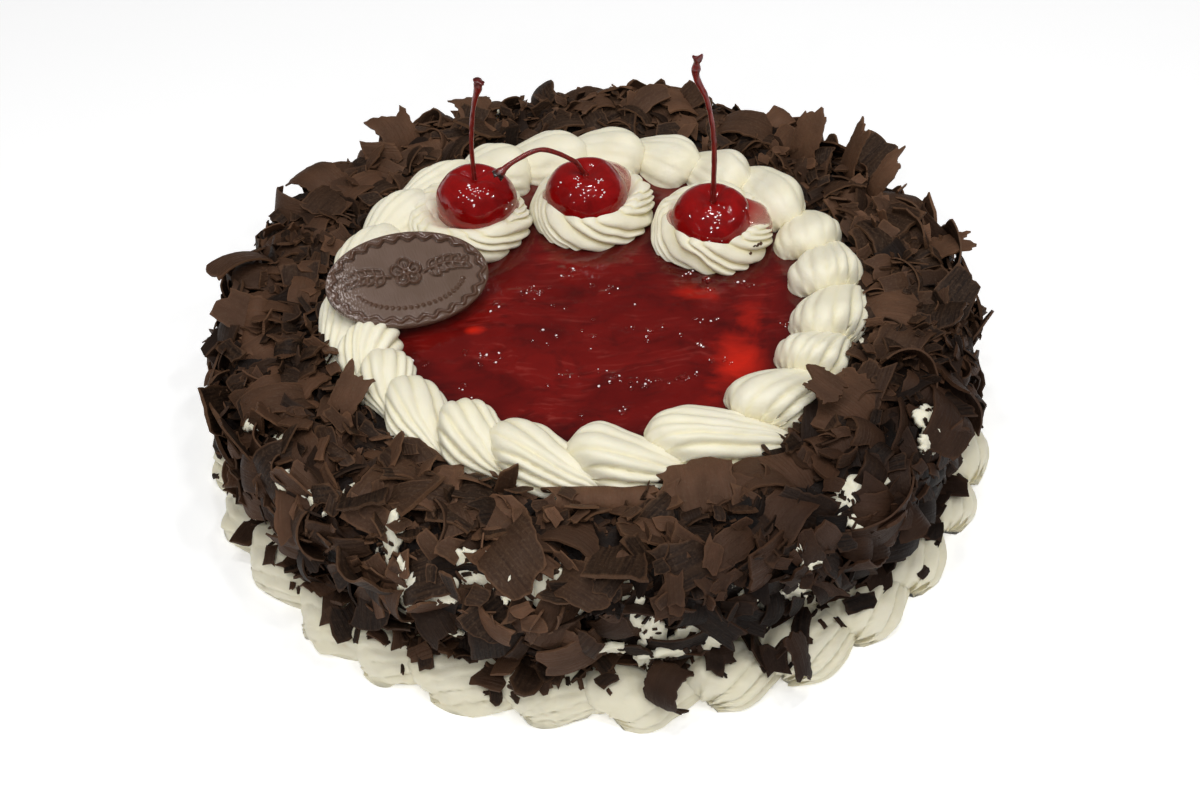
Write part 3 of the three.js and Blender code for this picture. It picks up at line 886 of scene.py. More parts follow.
def shell_places(starts, radius, floor, width, height, yaw, draw, kinds, inward=0.0,
                 pressed=(0, 0)):
    """Where each shell of a border stands, with its turn and size.

    Yaw turns a shell away from the border's run, inward is how far the ones at the back
    stand nearer to the middle, and pressed is the arc in degrees that has lower shells.
    """
    least, most = SHELL_LENGTHS
    places = []
    for index, start in enumerate(starts):
        after = starts[(index + 1) % len(starts)]
        pitch = math.radians((after - start) % 360)
        length = min(max(radius * pitch, least), most)
        angle = math.radians(start) + 0.16 * pitch
        behind = max(0.0, math.sin(angle)) ** 2 * inward
        reach = radius - behind + draw.uniform(-0.9, 0.9)
        swell = draw.uniform(0.93, 1.07) * (0.9 + 0.1 * length / 20) + 0.08 * behind
        is_pressed = pressed[0] < start < pressed[1]
        turn = angle + math.pi / 2 - yaw + draw.uniform(-0.07, 0.07)
        point = (reach * math.cos(angle), reach * math.sin(angle), floor)
        size = (length * draw.uniform(0.97, 1.06), width * swell,
                height * draw.uniform(0.94, 1.06) * (0.8 if is_pressed else 1.0))
        places.append((point, kinds(start), (0.0, 0.0, turn), size, 0.0))
    return places


# styles of the ring's shells: soft, twist and inner as for a shell, and the part of the
# ring in degrees that has them; the first style has the rest
RING_STYLES = (
    (1.0, 2.2, 0.9, None), (1.0, 1.1, 0.6, (-105, -70)), (1.0, -1.5, 0.35, (-70, 8)),
    (0.55, 0.4, 0.4, (8, 172)),
)
RING_VARIANTS = 3  # shapes of each style
PRESSED_ARC = (-172, -140)  # where the plaque presses the ring's shells down


class CAKE_OT_piped_ring(bpy.types.Operator):
    """Pipes the ring of cream shells on the top"""

    bl_idname = "cake.piped_ring"
    bl_label = "Ring of cream shells"

    def execute(self, context):
        sizes = context.scene.cake_sizes
        draw = np.random.RandomState(sizes.seed + 77)
        shapes = [
            shell_shape(f"shell_{style}_{variant}", variant * 0.29, *form[:3])
            for style, form in enumerate(RING_STYLES) for variant in range(RING_VARIANTS)]

        def kind(start):
            style = 0
            for index, (*_, part) in enumerate(RING_STYLES):
                if part and part[0] <= start < part[1]:
                    style = index
            return RING_VARIANTS * style + draw.randint(0, RING_VARIANTS)

        places = shell_places(
            RING_STARTS, RING_RADIUS, COAT_TOP - 0.2, sizes.ring_width / MM,
            sizes.ring_height / MM, 0.07, draw, kind, inward=2.0, pressed=PRESSED_ARC)
        ring = set_down("ring_shells", shapes, places, whipped_cream(), 1)
        unsettle(ring, ((9.0, 0.55), (3.4, 0.16)), 5)
        settle(ring, "cream", "piped_ring")
        return {"FINISHED"}


FOOT_VARIANTS = 3  # crisp shapes, and as many smeared ones
FOOT_SMEAR = (-128, 45, 12)  # middle, half and soft end of the smeared arc, in degrees
SMEARED_STARTS = (-170, -85)  # between them, the shells have a smeared shape


class CAKE_OT_foot_border(bpy.types.Operator):
    """Pipes the border of cream shells round the foot"""

    bl_idname = "cake.foot_border"
    bl_label = "Foot border"

    def execute(self, context):
        sizes = context.scene.cake_sizes
        draw = np.random.RandomState(sizes.seed + 131)
        shapes = [
            shell_shape(
                f"foot_{index}", index * 0.27, 1.0 if index < FOOT_VARIANTS else 0.5, -1.7,
                0.3, -0.3)
            for index in range(2 * FOOT_VARIANTS)]
        pitch = 360 / FOOT_SHELLS
        starts = [n * pitch - 175 + draw.uniform(-1.5, 1.5) for n in range(FOOT_SHELLS)]

        def kind(start):
            is_smeared = SMEARED_STARTS[0] < start < SMEARED_STARTS[1]
            first = FOOT_VARIANTS if is_smeared else 0
            return draw.randint(first, first + FOOT_VARIANTS)

        places = shell_places(
            starts, FOOT_RADIUS, 0.0, sizes.foot_width / MM, sizes.foot_height / MM,
            -0.16, draw, kind)
        # the foot cream is greyed by painted shade and has less painted shade in its grooves
        border = set_down("foot_shells", shapes, places, whipped_cream("foot cream", 0.28, 0.35), 2)
        unsettle(border, ((11.0, 0.6), (4.0, 0.2)), 25)
        self.smear(border)
        settle(border, "cream", "foot_border")
        return {"FINISHED"}

    def smear(self, border):
        """Roughens and flattens the arc of the border that was smeared."""
        middle, half, soft = FOOT_SMEAR
        points = mesh_points(border)
        bearing = np.degrees(np.arctan2(points[:, 1], points[:, 0]))
        smeared = np.clip((half - np.abs(bearing - middle)) / soft, 0, 1) * (points[:, 2] > 0.5)
        reach = np.hypot(points[:, 0], points[:, 1])[:, None]
        rough = 1.3 * noise(points, 5.5, 26) + 0.5 * noise(points, 2.2, 27)
        points += points * (1, 1, 0) / reach * (smeared * (rough - 0.4))[:, None]
        points[:, 2] += smeared * 0.7 * noise(points, 4.0, 28) * np.clip(points[:, 2] / 4, 0, 1)
        move_points(border, points)


def nest_shape(name, middle, radius, seed):
    """A round of piped cream whose ridges wind from its foot over its crest."""
    stations = np.linspace(0, 1, 46)
    rows = smooth_rows(NEST_PROFILE, stations)
    around = bearings(NEST_RIDGES * 16)
    wander = 0.35 * np.sin(2 * around + seed) + 0.3 * np.sin(5 * around + 2 * seed)
    lobes = ridge(NEST_RIDGES * around / (2 * math.pi) + 0.4 + wander)
    points, grooves = [], []
    for station, (outwards, upwards) in zip(stations, rows):
        wind = NEST_TWIST * min(upwards, 1) if station < 0.64 else NEST_TWIST * (
            1 + 1.1 * (station - 0.64))
        fade = min(1.0, max(0.0, (station - 0.34) / 0.36))
        depth = 0.10 * min(1.0, 0.5 + 3 * station) * (1 - fade * fade * (3 - 2 * fade)) + 0.016
        reach = radius * outwards * (1 - depth * (1 - lobes))
        lift = 1 - 0.035 * (1 - lobes) * math.exp(-(((station - 0.62) / 0.16) ** 2))
        rise = COAT_TOP + NEST_HEIGHT * upwards * lift
        points.append(circle(reach, rise, around - wind, middle))
        grooves.append(1 - (1 - lobes) * (1 - 0.6 * station))
    points = with_poles(np.concatenate(points), len(around))
    made = make_mesh(name, points, tube_faces(len(rows), len(around)), {
        "groove": np.append(np.concatenate(grooves), [0.5, 0.5])})
    unsettle(made, ((10.0, 1.0), (3.8, 0.36)), seed)
    return made


class CAKE_OT_nests(bpy.types.Operator):
    """Pipes the three nests that hold the cherries"""

    bl_idname = "cake.nests"
    bl_label = "Cream nests"

    def execute(self, context):
        cream = whipped_cream("nest cream")
        for index, (middle, radius, _) in enumerate(NESTS):
            nest = nest_shape(f"nest_{index + 1}", middle, radius, 60 + 7 * index)
            settle(nest, "cream", f"cream_nest_{index + 1}", material=cream)
        return {"FINISHED"}


# ------------------------------------------------------------------ cherries and jelly

DROP_SHAPES = 4  # shapes of the drops in each scattered piece


def drop_shapes(name, seed):
    """Small uneven drops, one millimetre in radius, closed underneath."""
    columns, steps = 12, 6
    made = []
    for own_seed in range(seed, seed + DROP_SHAPES):
        points = [(0, 0, -0.3)]
        for step in range(steps):
            tilt = math.radians(105 - 105 * step / steps)
            for column in range(columns):
                angle = 2 * math.pi * column / columns
                points.append((
                    math.sin(tilt) * math.cos(angle), math.sin(tilt) * math.sin(angle),
                    math.cos(tilt)))
        points = np.array([*points, (0, 0, 1)])
        points *= (1 + 0.16 * noise(points + own_seed, 0.8, own_seed))[:, None]
        made.append(make_mesh(f"{name}_{own_seed}", points, globe_faces(steps, columns)))
    return made


def mostly_small(draw, least, extra):
    """A size from the least one upwards, seldom far above it."""
    return least + extra * draw.uniform(0, 1) ** 2


def cherry_shape(name, middle, seed, swell):
    """A candied cherry about its middle, dented and dimpled round its stalk."""
    rows, columns = 44, 72
    depth, width = CHERRY_DIMPLE
    polar = np.linspace(0, math.pi, rows)[1:-1]
    around = bearings(columns)
    points = []
    for tilt in [math.pi, *polar[::-1], 0.0]:
        up, out = math.cos(tilt), math.sin(tilt)
        reach = CHERRY_RADIUS * out
        rise = (CHERRY_CROWN if up > 0 else CHERRY_BELLY) * up
        if up > 0:
            rise -= depth * math.exp(-((reach / width) ** 2))
        angles = around if out > 1e-6 else around[:1]
        points += [(reach * math.cos(a), reach * math.sin(a), rise) for a in angles]
    points = np.array(points)
    lean = points / np.linalg.norm(points, axis=1, keepdims=True)
    dents = 0.6 * noise(lean * 10, 8.0, seed) + 0.26 * noise(lean * 10, 3.0, seed + 1)
    draw = np.random.RandomState(seed)
    bearing = np.arctan2(lean[:, 1], lean[:, 0])
    reach = np.hypot(lean[:, 0], lean[:, 1])
    along = np.exp(-(((reach - 0.42) / 0.24) ** 2)) * (lean[:, 2] > 0)
    for fold in draw.uniform(-math.pi, math.pi, CHERRY_FOLDS):
        away = (bearing - fold + math.pi) % (2 * math.pi) - math.pi
        dents = dents - draw.uniform(0.4, 0.9) * np.exp(-((away * reach / 0.1) ** 2)) * along
    points = (points + lean * dents[:, None]) * swell
    rise = (points[:, 2] + CHERRY_BELLY) / (CHERRY_BELLY + CHERRY_CROWN)
    return make_mesh(
        name, points + np.array(middle), globe_faces(len(polar), columns), {"rise": rise})


# painted glints on each cherry, as white beads: bearing and height in degrees, and how many
CHERRY_GLINTS = (
    ((-104, 58, 6), (-84, 52, 7), (-118, 46, 3), (-62, 50, 4), (-34, 12, 3), (-88, 38, 2)),
    ((-124, 62, 4), (-108, 52, 5), (-52, 54, 6), (-60, 40, 2), (-46, 34, 2), (-150, 40, 2)),
    ((-104, 52, 3), (-84, 44, 7), (-58, 58, 3), (-94, 30, 2), (-86, 6, 3), (-20, 38, 2)),
)


class CAKE_OT_cherries(bpy.types.Operator):
    """Sets a cherry in each nest"""

    bl_idname = "cake.cherries"
    bl_label = "Cherries"

    def execute(self, context):
        flesh = cherry_flesh()
        for index, (_, _, middle) in enumerate(NESTS):
            cherry = cherry_shape(
                f"candied_cherry_{index + 1}", middle, 200 + 9 * index, CHERRY_SWELL[index])
            settle(cherry, "cherry", f"cherry_{index + 1}", material=flesh)
        # white beads of painted glints on the cherries
        draw = np.random.RandomState(context.scene.cake_sizes.seed + 700)
        places = []
        for index, (_, _, middle) in enumerate(NESTS):
            skin = ground_of(f"candied_cherry_{index + 1}")
            for bearing, height, count in CHERRY_GLINTS[index]:
                for _ in range(count):
                    turn = math.radians(bearing + draw.normal(0, 7))
                    rise = math.radians(height + draw.normal(0, 4))
                    way = Vector((math.cos(turn) * math.cos(rise),
                                  math.sin(turn) * math.cos(rise), math.sin(rise)))
                    hit, normal = skin.ray_cast(Vector(middle) + 30 * way, -way)[:2]
                    radius = mostly_small(draw, 0.12, 0.2)
                    places.append((
                        tuple(hit), draw.randint(0, DROP_SHAPES),
                        tuple(lie_on(normal).to_euler()),
                        (radius * 1.4, radius, 0.8 * radius), 0.0))
        specks = set_down("cherry_specks", drop_shapes("speck", 60), places, painted_glints(), 5)
        settle(specks, "cherry")
        return {"FINISHED"}


# how far syrup runs out from each cherry: bearing and spread in degrees, reach
SYRUP_RUNS = (
    ((168, 26, 2.3), (4, 24, 2.5)),
    ((58, 46, 8.2), (178, 26, 3.2)),
    ((4, 24, 8.4), (172, 30, 3.4)),
)
SYRUP_START = 0.86  # share of the cherry's radius where its syrup begins
SYRUP_LACK = 1.7  # how far the syrup stops short of the cherry's girth where it hasn't run
SYRUP_THICKNESS = 0.9


def syrup_shape(name, middle, runs, ground):
    """A thin skin of syrup round a cherry, lying on the nest under it."""
    columns, steps = 96, 12
    around = bearings(columns)
    reach = np.full(columns, -SYRUP_LACK)
    for bearing, spread, extent in runs:
        away = (np.degrees(around) - bearing + 180) % 360 - 180
        reach += extent * np.exp(-((away / spread) ** 2))
    lean = middle[2] - 2 + 7 * np.clip((reach + 0.6) / 3, 0, 1)
    top, depth = [], []
    for step in range(steps + 1):
        share = step / steps
        radius = CHERRY_RADIUS * SYRUP_START + (reach + CHERRY_RADIUS * (1 - SYRUP_START)) * share
        for angle, out, crest in zip(around, radius, lean):
            x, y = middle[0] + out * math.cos(angle), middle[1] + out * math.sin(angle)
            hit = drop(ground, x, y)[0]
            floor = hit.z if hit else COAT_TOP + 4
            rise = max(crest - floor, 0) * (1 - share**1.7)
            top.append((x, y, floor + 0.03 + rise + 0.5 * (1 - share) ** 0.4))
            depth.append(1 - share)
    top = np.array(top)
    count = len(top)
    faces = grid_faces(steps + 1, columns)
    faces += [face[::-1] for face in grid_faces(steps + 1, columns, start=count)]
    outer = steps * columns
    for one, two in neighbours(range(columns)):
        faces.append((one, two, two + count, one + count))
        faces.append((outer + one + count, outer + two + count, outer + two, outer + one))
    return make_mesh(
        name, np.vstack([top, top - (0, 0, SYRUP_THICKNESS)]), faces,
        {"depth": np.array(depth * 2)})


class CAKE_OT_syrup(bpy.types.Operator):
    """Lets syrup run from the cherries onto the cream"""

    bl_idname = "cake.syrup"
    bl_label = "Cherry syrup"

    def execute(self, context):
        syrup = cherry_syrup()
        for index, (_, _, middle) in enumerate(NESTS):
            pool = syrup_shape(
                f"cherry_syrup_{index + 1}", middle, SYRUP_RUNS[index],
                ground_of(f"nest_{index + 1}"))
            settle(pool, "cherry", material=syrup)
        return {"FINISHED"}


def tube_shape(name, route, widths, sides, steps, seed, blackened):
    """A tube along a smooth route, torn off at its end and blackened there by a share.

    Widths pair a share of the length with a radius.
    """
    knots = np.array([(index, *point) for index, point in enumerate(route)], float)
    middle = smooth_rows(knots, np.linspace(0, len(route) - 1, steps))
    shares = np.linspace(0, 1, steps)
    radii = np.interp(shares, *zip(*widths))
    side_way = np.array((1.0, 0.0, 0.0))
    points = []
    for index, point in enumerate(middle):
        onward = middle[min(index + 1, steps - 1)] - middle[max(index - 1, 0)]
        onward /= np.linalg.norm(onward)
        side_way = side_way - onward * side_way.dot(onward)
        side_way /= np.linalg.norm(side_way)
        other_way = np.cross(onward, side_way)
        for side in range(sides):
            angle = 2 * math.pi * side / sides
            spoke = math.cos(angle) * side_way + math.sin(angle) * other_way
            points.append(point + radii[index] * spoke)
    points = np.array(points)
    spokes = points - np.repeat(middle, sides, axis=0)
    torn = np.clip((np.repeat(shares, sides) - 0.93) / 0.05, 0, 1)
    points += spokes * (0.14 * noise(points, 1.6, seed))[:, None]
    points += spokes * (0.75 * torn * noise(points, 1.0, seed + 5))[:, None]
    tangent = (middle[-1] - middle[-4]) / np.linalg.norm(middle[-1] - middle[-4])
    points += tangent * (0.9 * torn * noise(points, 1.1, seed + 7))[:, None]
    ends = [middle[0], middle[-1] - 0.25 * (middle[-1] - middle[-2])]
    cut = blackened * np.array([*torn, 0.0, 1.0])
    return make_mesh(name, np.vstack([points, ends]), tube_faces(steps, sides), {"cut": cut})


STALK_WIDTHS = (  # pairs of a share of the length and a radius
    ((0, 1.5), (0.05, 1.1), (0.12, 0.75), (0.75, 0.7), (0.88, 0.95), (0.97, 1.5), (1, 1.6)),
    ((0, 1.4), (0.07, 1.0), (0.15, 0.72), (0.8, 0.75), (0.9, 0.95), (0.94, 1.5), (1, 1.7)),
    ((0, 1.5), (0.04, 1.1), (0.10, 0.85), (0.6, 0.75), (0.80, 1.0), (0.87, 1.35),
     (0.93, 0.95), (0.98, 1.1), (1, 0.8)),
)
STALK_ENDS = (0.35, 1.0, 0.25)  # how black each end is


class CAKE_OT_stalks(bpy.types.Operator):
    """Grows a stalk from each cherry"""

    bl_idname = "cake.stalks"
    bl_label = "Cherry stalks"

    def execute(self, context):
        wood = cherry_stalk()
        for index, (route, widths) in enumerate(zip(STALK_ROUTES, STALK_WIDTHS)):
            stalk = tube_shape(
                f"stalk_{index + 1}", route, widths, 14, 120, 310 + index, STALK_ENDS[index])
            settle(stalk, "stalk", f"cherry_stalk_{index + 1}", material=wood)
        return {"FINISHED"}


# lumps on the jelly, with the white beads of painted glints: middle of each cluster, its spread,
# its count
JELLY_CLUSTERS = (
    (-17, 2.2, 2.2, 9), (-21.5, 1, 2.4, 6), (-28.7, -5, 3, 6), (-6.2, 10.6, 3, 7),
    (4.7, 1, 2.5, 4), (-31, -26.3, 5, 12), (-39, -40, 3, 5), (-36.4, -44.3, 2, 6),
    (-6, -36, 4, 6), (4, -37, 3, 5), (-4.4, -52.5, 2, 2), (-14, -19.5, 6, 5),
    (16, -18, 5, 10), (28.7, -24, 1.5, 4), (33, -15, 3, 7), (28.5, 7.3, 2, 5),
    (36, 3, 3.5, 7), (46.5, 1.2, 2.5, 5), (7, -38.5, 4, 6), (15.5, -39.5, 3, 12),
    (24.5, -38, 3, 8), (32.5, -31, 3, 4), (6.3, -49.5, 3, 4), (55, -17.7, 2, 3),
    (-50, -28, 5, 5), (0, -8, 20, 12), (10, -60, 10, 4),
)

LUMP_REACH = 62  # no lump lies further from the middle
GLINT_SHARE = 0.75  # share of the lumps that hold a white bead of painted glint

# painted light: brighter places where light shines through the jelly: middle, half length, half
# width, strength
JELLY_GLOWS = (
    (40.5, -34, 8.5, 18, 0.85), (45, -15, 7, 9, 0.55), (30, -2, 8, 5, 0.62),
    (36, -49, 10, 6, 0.6), (-34.8, -15, 3.4, 1.9, 1.0), (-47, -34, 8, 7, 0.25),
)


def jelly_glow(points):
    """Painted light on the jelly at points, from 0 where none falls to 1 where light shines through
    most.
    """
    wave = 0.35 * noise(points, 6.0, 71) + 0.1 * noise(points, 2.5, 72)
    glow = np.zeros(len(points))
    for x, y, length, width, strength in JELLY_GLOWS:
        away = ((points[:, 0] - x) / length) ** 2 + ((points[:, 1] - y) / width) ** 2
        glow = np.maximum(glow, strength * np.exp(-away * (1 + 0.9 * wave)))
    return np.clip(glow, 0, 1)


RIM_SHADE_START, RIM_SHADE_WIDTH = 53, 9  # where painted shade begins at the jelly's edge, and over how much
NEST_SHADE_REACH = 8  # how far from a nest the jelly has painted shade


class CAKE_OT_jelly(bpy.types.Operator):
    """Spreads the pool of cherry jelly with its lumps and the white beads of its painted glints"""

    bl_idname = "cake.jelly"
    bl_label = "Cherry jelly"

    def execute(self, context):
        material = cherry_jelly()
        columns, steps = 400, 132
        around = bearings(columns)
        rings = [
            circle(JELLY_RADIUS * step / steps, JELLY_TOP, around)
            for step in range(1, steps + 1)]
        top = np.concatenate(rings)
        streaked = top * np.array((0.32, 1.0, 1.0))
        top[:, 2] += 0.2 * noise(streaked, 6.5, 81) + 0.08 * noise(streaked, 2.6, 82)
        top[:, 2] += 0.05 * noise(top, 1.5, 83) - 0.45
        crowd = np.zeros(len(top))
        for x, y, spread, _ in JELLY_CLUSTERS:
            away = ((top[:, 0] - x) / (1.5 * spread + 1)) ** 2
            away += ((top[:, 1] - y) / (0.7 * spread + 0.8)) ** 2
            crowd = np.maximum(crowd, np.exp(-away) * min(1.0, 6 / spread))
        top[:, 2] += 0.65 * crowd * np.clip(noise(top, 2.4, 84) + 0.05, 0, 1)
        bottom = COAT_TOP + 0.1
        under = rings[-1] * np.array((1.0, 1.0, 0)) + np.array((0, 0, bottom))
        points = np.vstack([top, under, [(0, 0, JELLY_TOP - 0.5)], [(0, 0, bottom)]])
        reach = np.hypot(points[:, 0], points[:, 1])
        nearest = np.min([
            np.hypot(points[:, 0] - x, points[:, 1] - y) - radius
            for (x, y), radius, _ in NESTS], axis=0)
        # painted shade at the jelly's edge and beside the nests
        rim = np.maximum(
            np.clip((reach - RIM_SHADE_START) / RIM_SHADE_WIDTH, 0, 1), np.clip(1 - nearest / NEST_SHADE_REACH, 0, 1))
        jelly = make_mesh(
            "jelly_pool", points, tube_faces(steps + 1, columns, flipped=True),
            {"glow": jelly_glow(points), "rim": 0.78 * rim})
        settle(jelly, "jelly", "cherry_jelly", material=material)
        self.add_lumps(context, material)
        return {"FINISHED"}

    def add_lumps(self, context, material):
        """Scatters small wet drops in loose clusters on the jelly, and white beads of painted
        glints on most of them.
        """
        draw = np.random.RandomState(context.scene.cake_sizes.seed + 500)
        ground = ground_of("jelly_pool")
        places = []
        for x, y, spread, count in JELLY_CLUSTERS:
            for _ in range(count):
                at = (x + draw.normal(0, spread * 0.8), y + draw.normal(0, spread * 0.45))
                hit = drop(ground, *at, height=80)[0]
                if hit is None or np.hypot(*at) > LUMP_REACH:
                    continue
                size = mostly_small(draw, 0.35, 0.5)
                places.append((
                    (*at, hit.z - 0.05), draw.randint(0, DROP_SHAPES),
                    (0, 0, draw.uniform(0, FULL_TURN)),
                    (size * draw.uniform(0.8, 1.9), size, size * draw.uniform(0.45, 0.8)),
                    0.0))
        lumps = set_down("jelly_lumps", drop_shapes("lump", 40), places, material, 3)
        points = mesh_points(lumps)
        carry(lumps.data, "rim", np.zeros(len(points)))
        carry(lumps.data, "glow", jelly_glow(points))
        settle(lumps, "jelly")
        beads = []
        for at, shape, turn, size, _ in places:
            if draw.uniform() < GLINT_SHARE:
                radius = mostly_small(draw, 0.12, 0.24)
                lean = draw.normal(0, 0.4, 2)
                beads.append((
                    (at[0] + lean[0], at[1] + lean[1], at[2] + 0.55 * size[2]), shape, turn,
                    (radius * 1.3, radius, radius), 0.0))
        # white beads of painted glints
        glint_beads = set_down("jelly_bubbles", drop_shapes("bubble", 50), beads, painted_glints(), 4)
        settle(glint_beads, "jelly")


# ------------------------------------------------------------------ plaque


def stroke(points, line, half, height):
    """Relief of a rounded bead of that half width along a line, with a moat beside it."""
    line = np.array(line, float)
    starts, spans = line[:-1], np.diff(line, axis=0)
    lengths = np.maximum((spans**2).sum(axis=1), 1e-9)
    away = np.full(len(points), 1e9)
    for start, span, length in zip(starts, spans, lengths):
        share = np.clip(((points - start) @ span) / length, 0, 1)
        gap = points - start - share[:, None] * span
        away = np.minimum(away, np.hypot(gap[:, 0], gap[:, 1]))
    bead = height * np.sqrt(np.clip(1 - (away / half) ** 2, 0, 1))
    moat = 0.16 * np.clip(1 - (away - half) / 0.4, 0, 1)
    return np.where(away < half, bead, -moat)


def leaf_line(root, tip, fat):
    """The outline of a leaf from its root to its tip and back."""
    root, tip = np.array(root, float), np.array(tip, float)
    spine = tip - root
    side = np.array((-spine[1], spine[0]))
    shares = np.linspace(0, 1, 12)
    bow = fat * np.sin(np.pi * shares**0.85)
    out = root + shares[:, None] * spine + bow[:, None] * side
    back = root + shares[::-1, None] * spine - bow[::-1, None] * side
    return np.vstack([out, back])


def plaque_lines():
    """The plaque's ornament: a blossom between two sprays of leaves.

    Each line has its points, the half width of its bead and the height of its bead.
    """
    turns = np.linspace(0, 2 * math.pi, 25)
    round_bead = np.stack([np.cos(turns), np.sin(turns)], axis=1)
    heart = np.array((0, 2.0))
    lines = []
    for petal in range(5):
        bearing = math.radians(90 + 72 * petal)
        middle = np.array((2.7 * math.cos(bearing), 2.0 + 2.7 * math.sin(bearing)))
        lines.append((middle + 1.75 * round_bead, 0.42, 0.9))
        lines.append(([middle, middle * 0.6 + 0.4 * heart], 0.36, 0.5))
    lines.append((heart + 0.75 * round_bead, 0.6, 0.85))
    for side in (-1, 1):
        stem = np.array([(side * x, 1.2 + 1.6 * math.sin((x - 5) / 4.2))
                         for x in np.linspace(5.2, 17.6, 22)])
        lines.append((stem, 0.42, 0.7))
        for index, root in enumerate(stem[3::4]):
            for lift in (1, -1):
                tip = root + np.array((side * 2.6, lift * (2.7 - 0.22 * index)))
                lines.append((leaf_line(root, tip, 0.3), 0.34, 0.62))
    return lines


PLAQUE_RIM = 3.5  # width of the raised rim
CORD_WAVES = 24
ARC_BEADS = 23
FIELD_INSET = 99.0  # marks the points inside the rim, which have no inset of their own


def plaque_relief(points, inset, travel):
    """Height of the plaque's face above its field: a waved cord, the ornament, an arc of beads.

    Inset is the way in from the outline, and travel the share of the way round it.
    """
    wave = 1.8 + 0.62 * np.sin(2 * np.pi * CORD_WAVES * travel)
    slope = 1 + 0.25 * np.abs(np.cos(2 * np.pi * CORD_WAVES * travel))
    away = np.abs(inset - wave) / (0.56 * slope)
    cord = 0.5 + 0.55 * np.sqrt(np.clip(1 - away**2, 0, 1))
    plateau = 0.5 * np.sqrt(np.clip(inset / 0.5, 0, 1))
    height = np.where(away < 1, cord, np.where(inset < wave, plateau, 0.0))
    height = height - 0.22 * np.clip(1 - np.abs(away - 1.35) / 0.4, 0, 1) * (inset < FIELD_INSET)
    relief = np.zeros(len(points))
    field = inset > PLAQUE_RIM - 0.4
    for line, half, rise in plaque_lines():
        bead = stroke(points[field], line, half, rise)
        relief[field] = np.where(
            (bead > 0) | (relief[field] > 0), np.maximum(relief[field], bead),
            np.minimum(relief[field], bead))
    dots = np.zeros(len(points))
    for bead in range(ARC_BEADS):
        bearing = math.radians(200 + 140 * bead / (ARC_BEADS - 1))
        at = np.array((16.6 * math.cos(bearing), 9.4 * math.sin(bearing)))
        away = np.hypot(*(points - at).T)
        dots = np.maximum(dots, 0.7 * np.sqrt(np.clip(1 - (away / 0.62) ** 2, 0, 1)))
    inner = np.where(dots > 0, dots, relief)
    return np.where(field & (np.abs(inner) > np.abs(height)), inner, height)


def oval(inset, around):
    """Points of the plaque's outline, moved in by an inset."""
    long, wide = PLAQUE_HALVES
    return np.stack([(long - inset) * np.cos(around), (wide - inset) * np.sin(around)], axis=1)


def even_bearings(columns):
    """Bearings that step evenly along the plaque's outline."""
    long, wide = PLAQUE_HALVES
    fine = np.linspace(0, 2 * math.pi, 4001)
    run = np.hypot(long * np.sin(fine), wide * np.cos(fine))
    travelled = np.concatenate([[0], np.cumsum((run[1:] + run[:-1]) / 2)])
    return np.interp(np.arange(columns) / columns, travelled / travelled[-1], fine)


class CAKE_OT_plaque(bpy.types.Operator):
    """Casts the oval chocolate plaque"""

    bl_idname = "cake.plaque"
    bl_label = "Chocolate plaque"

    def execute(self, context):
        columns = 448
        around = even_bearings(columns)
        insets = np.linspace(0.14, PLAQUE_RIM, 20)
        rows = [oval(inset, around) for inset in insets]
        inner = rows[-1]
        rows += [inner * share for share in np.linspace(1, 0, 62)[1:-1]]
        inward = np.full(len(rows), FIELD_INSET)
        inward[: len(insets)] = insets
        face = np.concatenate([*rows, [(0, 0)]])
        height = plaque_relief(
            face, np.append(np.repeat(inward, columns), FIELD_INSET),
            np.append(np.tile(np.arange(columns) / columns, len(rows)), 0.0))
        half = PLAQUE_THICKNESS / 2
        top = np.column_stack([face, half + height])
        sides = [
            np.column_stack([oval(inset, around), np.full(columns, level)])
            for inset, level in (
                (0.0, half + 0.15), (0.0, -half + 0.7), (0.35, -half + 0.1), (0.9, -half))]
        side = np.concatenate(sides)
        count = len(top)
        faces = grid_faces(len(rows), columns)
        faces += fan(range(count - 1 - columns, count - 1), count - 1)
        faces += [ring[::-1] for ring in grid_faces(len(sides), columns, start=count)]
        faces += [(count + one, count + two, two, one) for one, two in neighbours(range(columns))]
        last = count + len(side) - columns
        faces += fan(range(last, last + columns), count + len(side), outwards=False)
        points = np.vstack([top, side, [(0, 0, -half)]])
        # relief kept on the mesh, which sets the painted shade and the gloss
        crease = np.clip(np.where(height > 0, height / 0.8, height / 0.14), -1, 1)
        turn = Matrix.Identity(4)
        for degrees, axis in zip(PLAQUE_TURN, "XYZ"):
            turn = Matrix.Rotation(math.radians(degrees), 4, axis) @ turn
        stood = points @ np.array(turn.to_3x3()).T + np.array(PLAQUE_MIDDLE)
        plaque = make_mesh("oval_plaque", stood, faces, {
            "relief": np.concatenate([crease, np.full(len(side), 0.1), [0]]),
            "flat": np.vstack([np.column_stack([face, np.zeros(count)]), side, [(0, 0, 0)]])})
        settle(plaque, "plaque", "chocolate_plaque", material=moulded_chocolate())
        return {"FINISHED"}


# ------------------------------------------------------------------ shavings


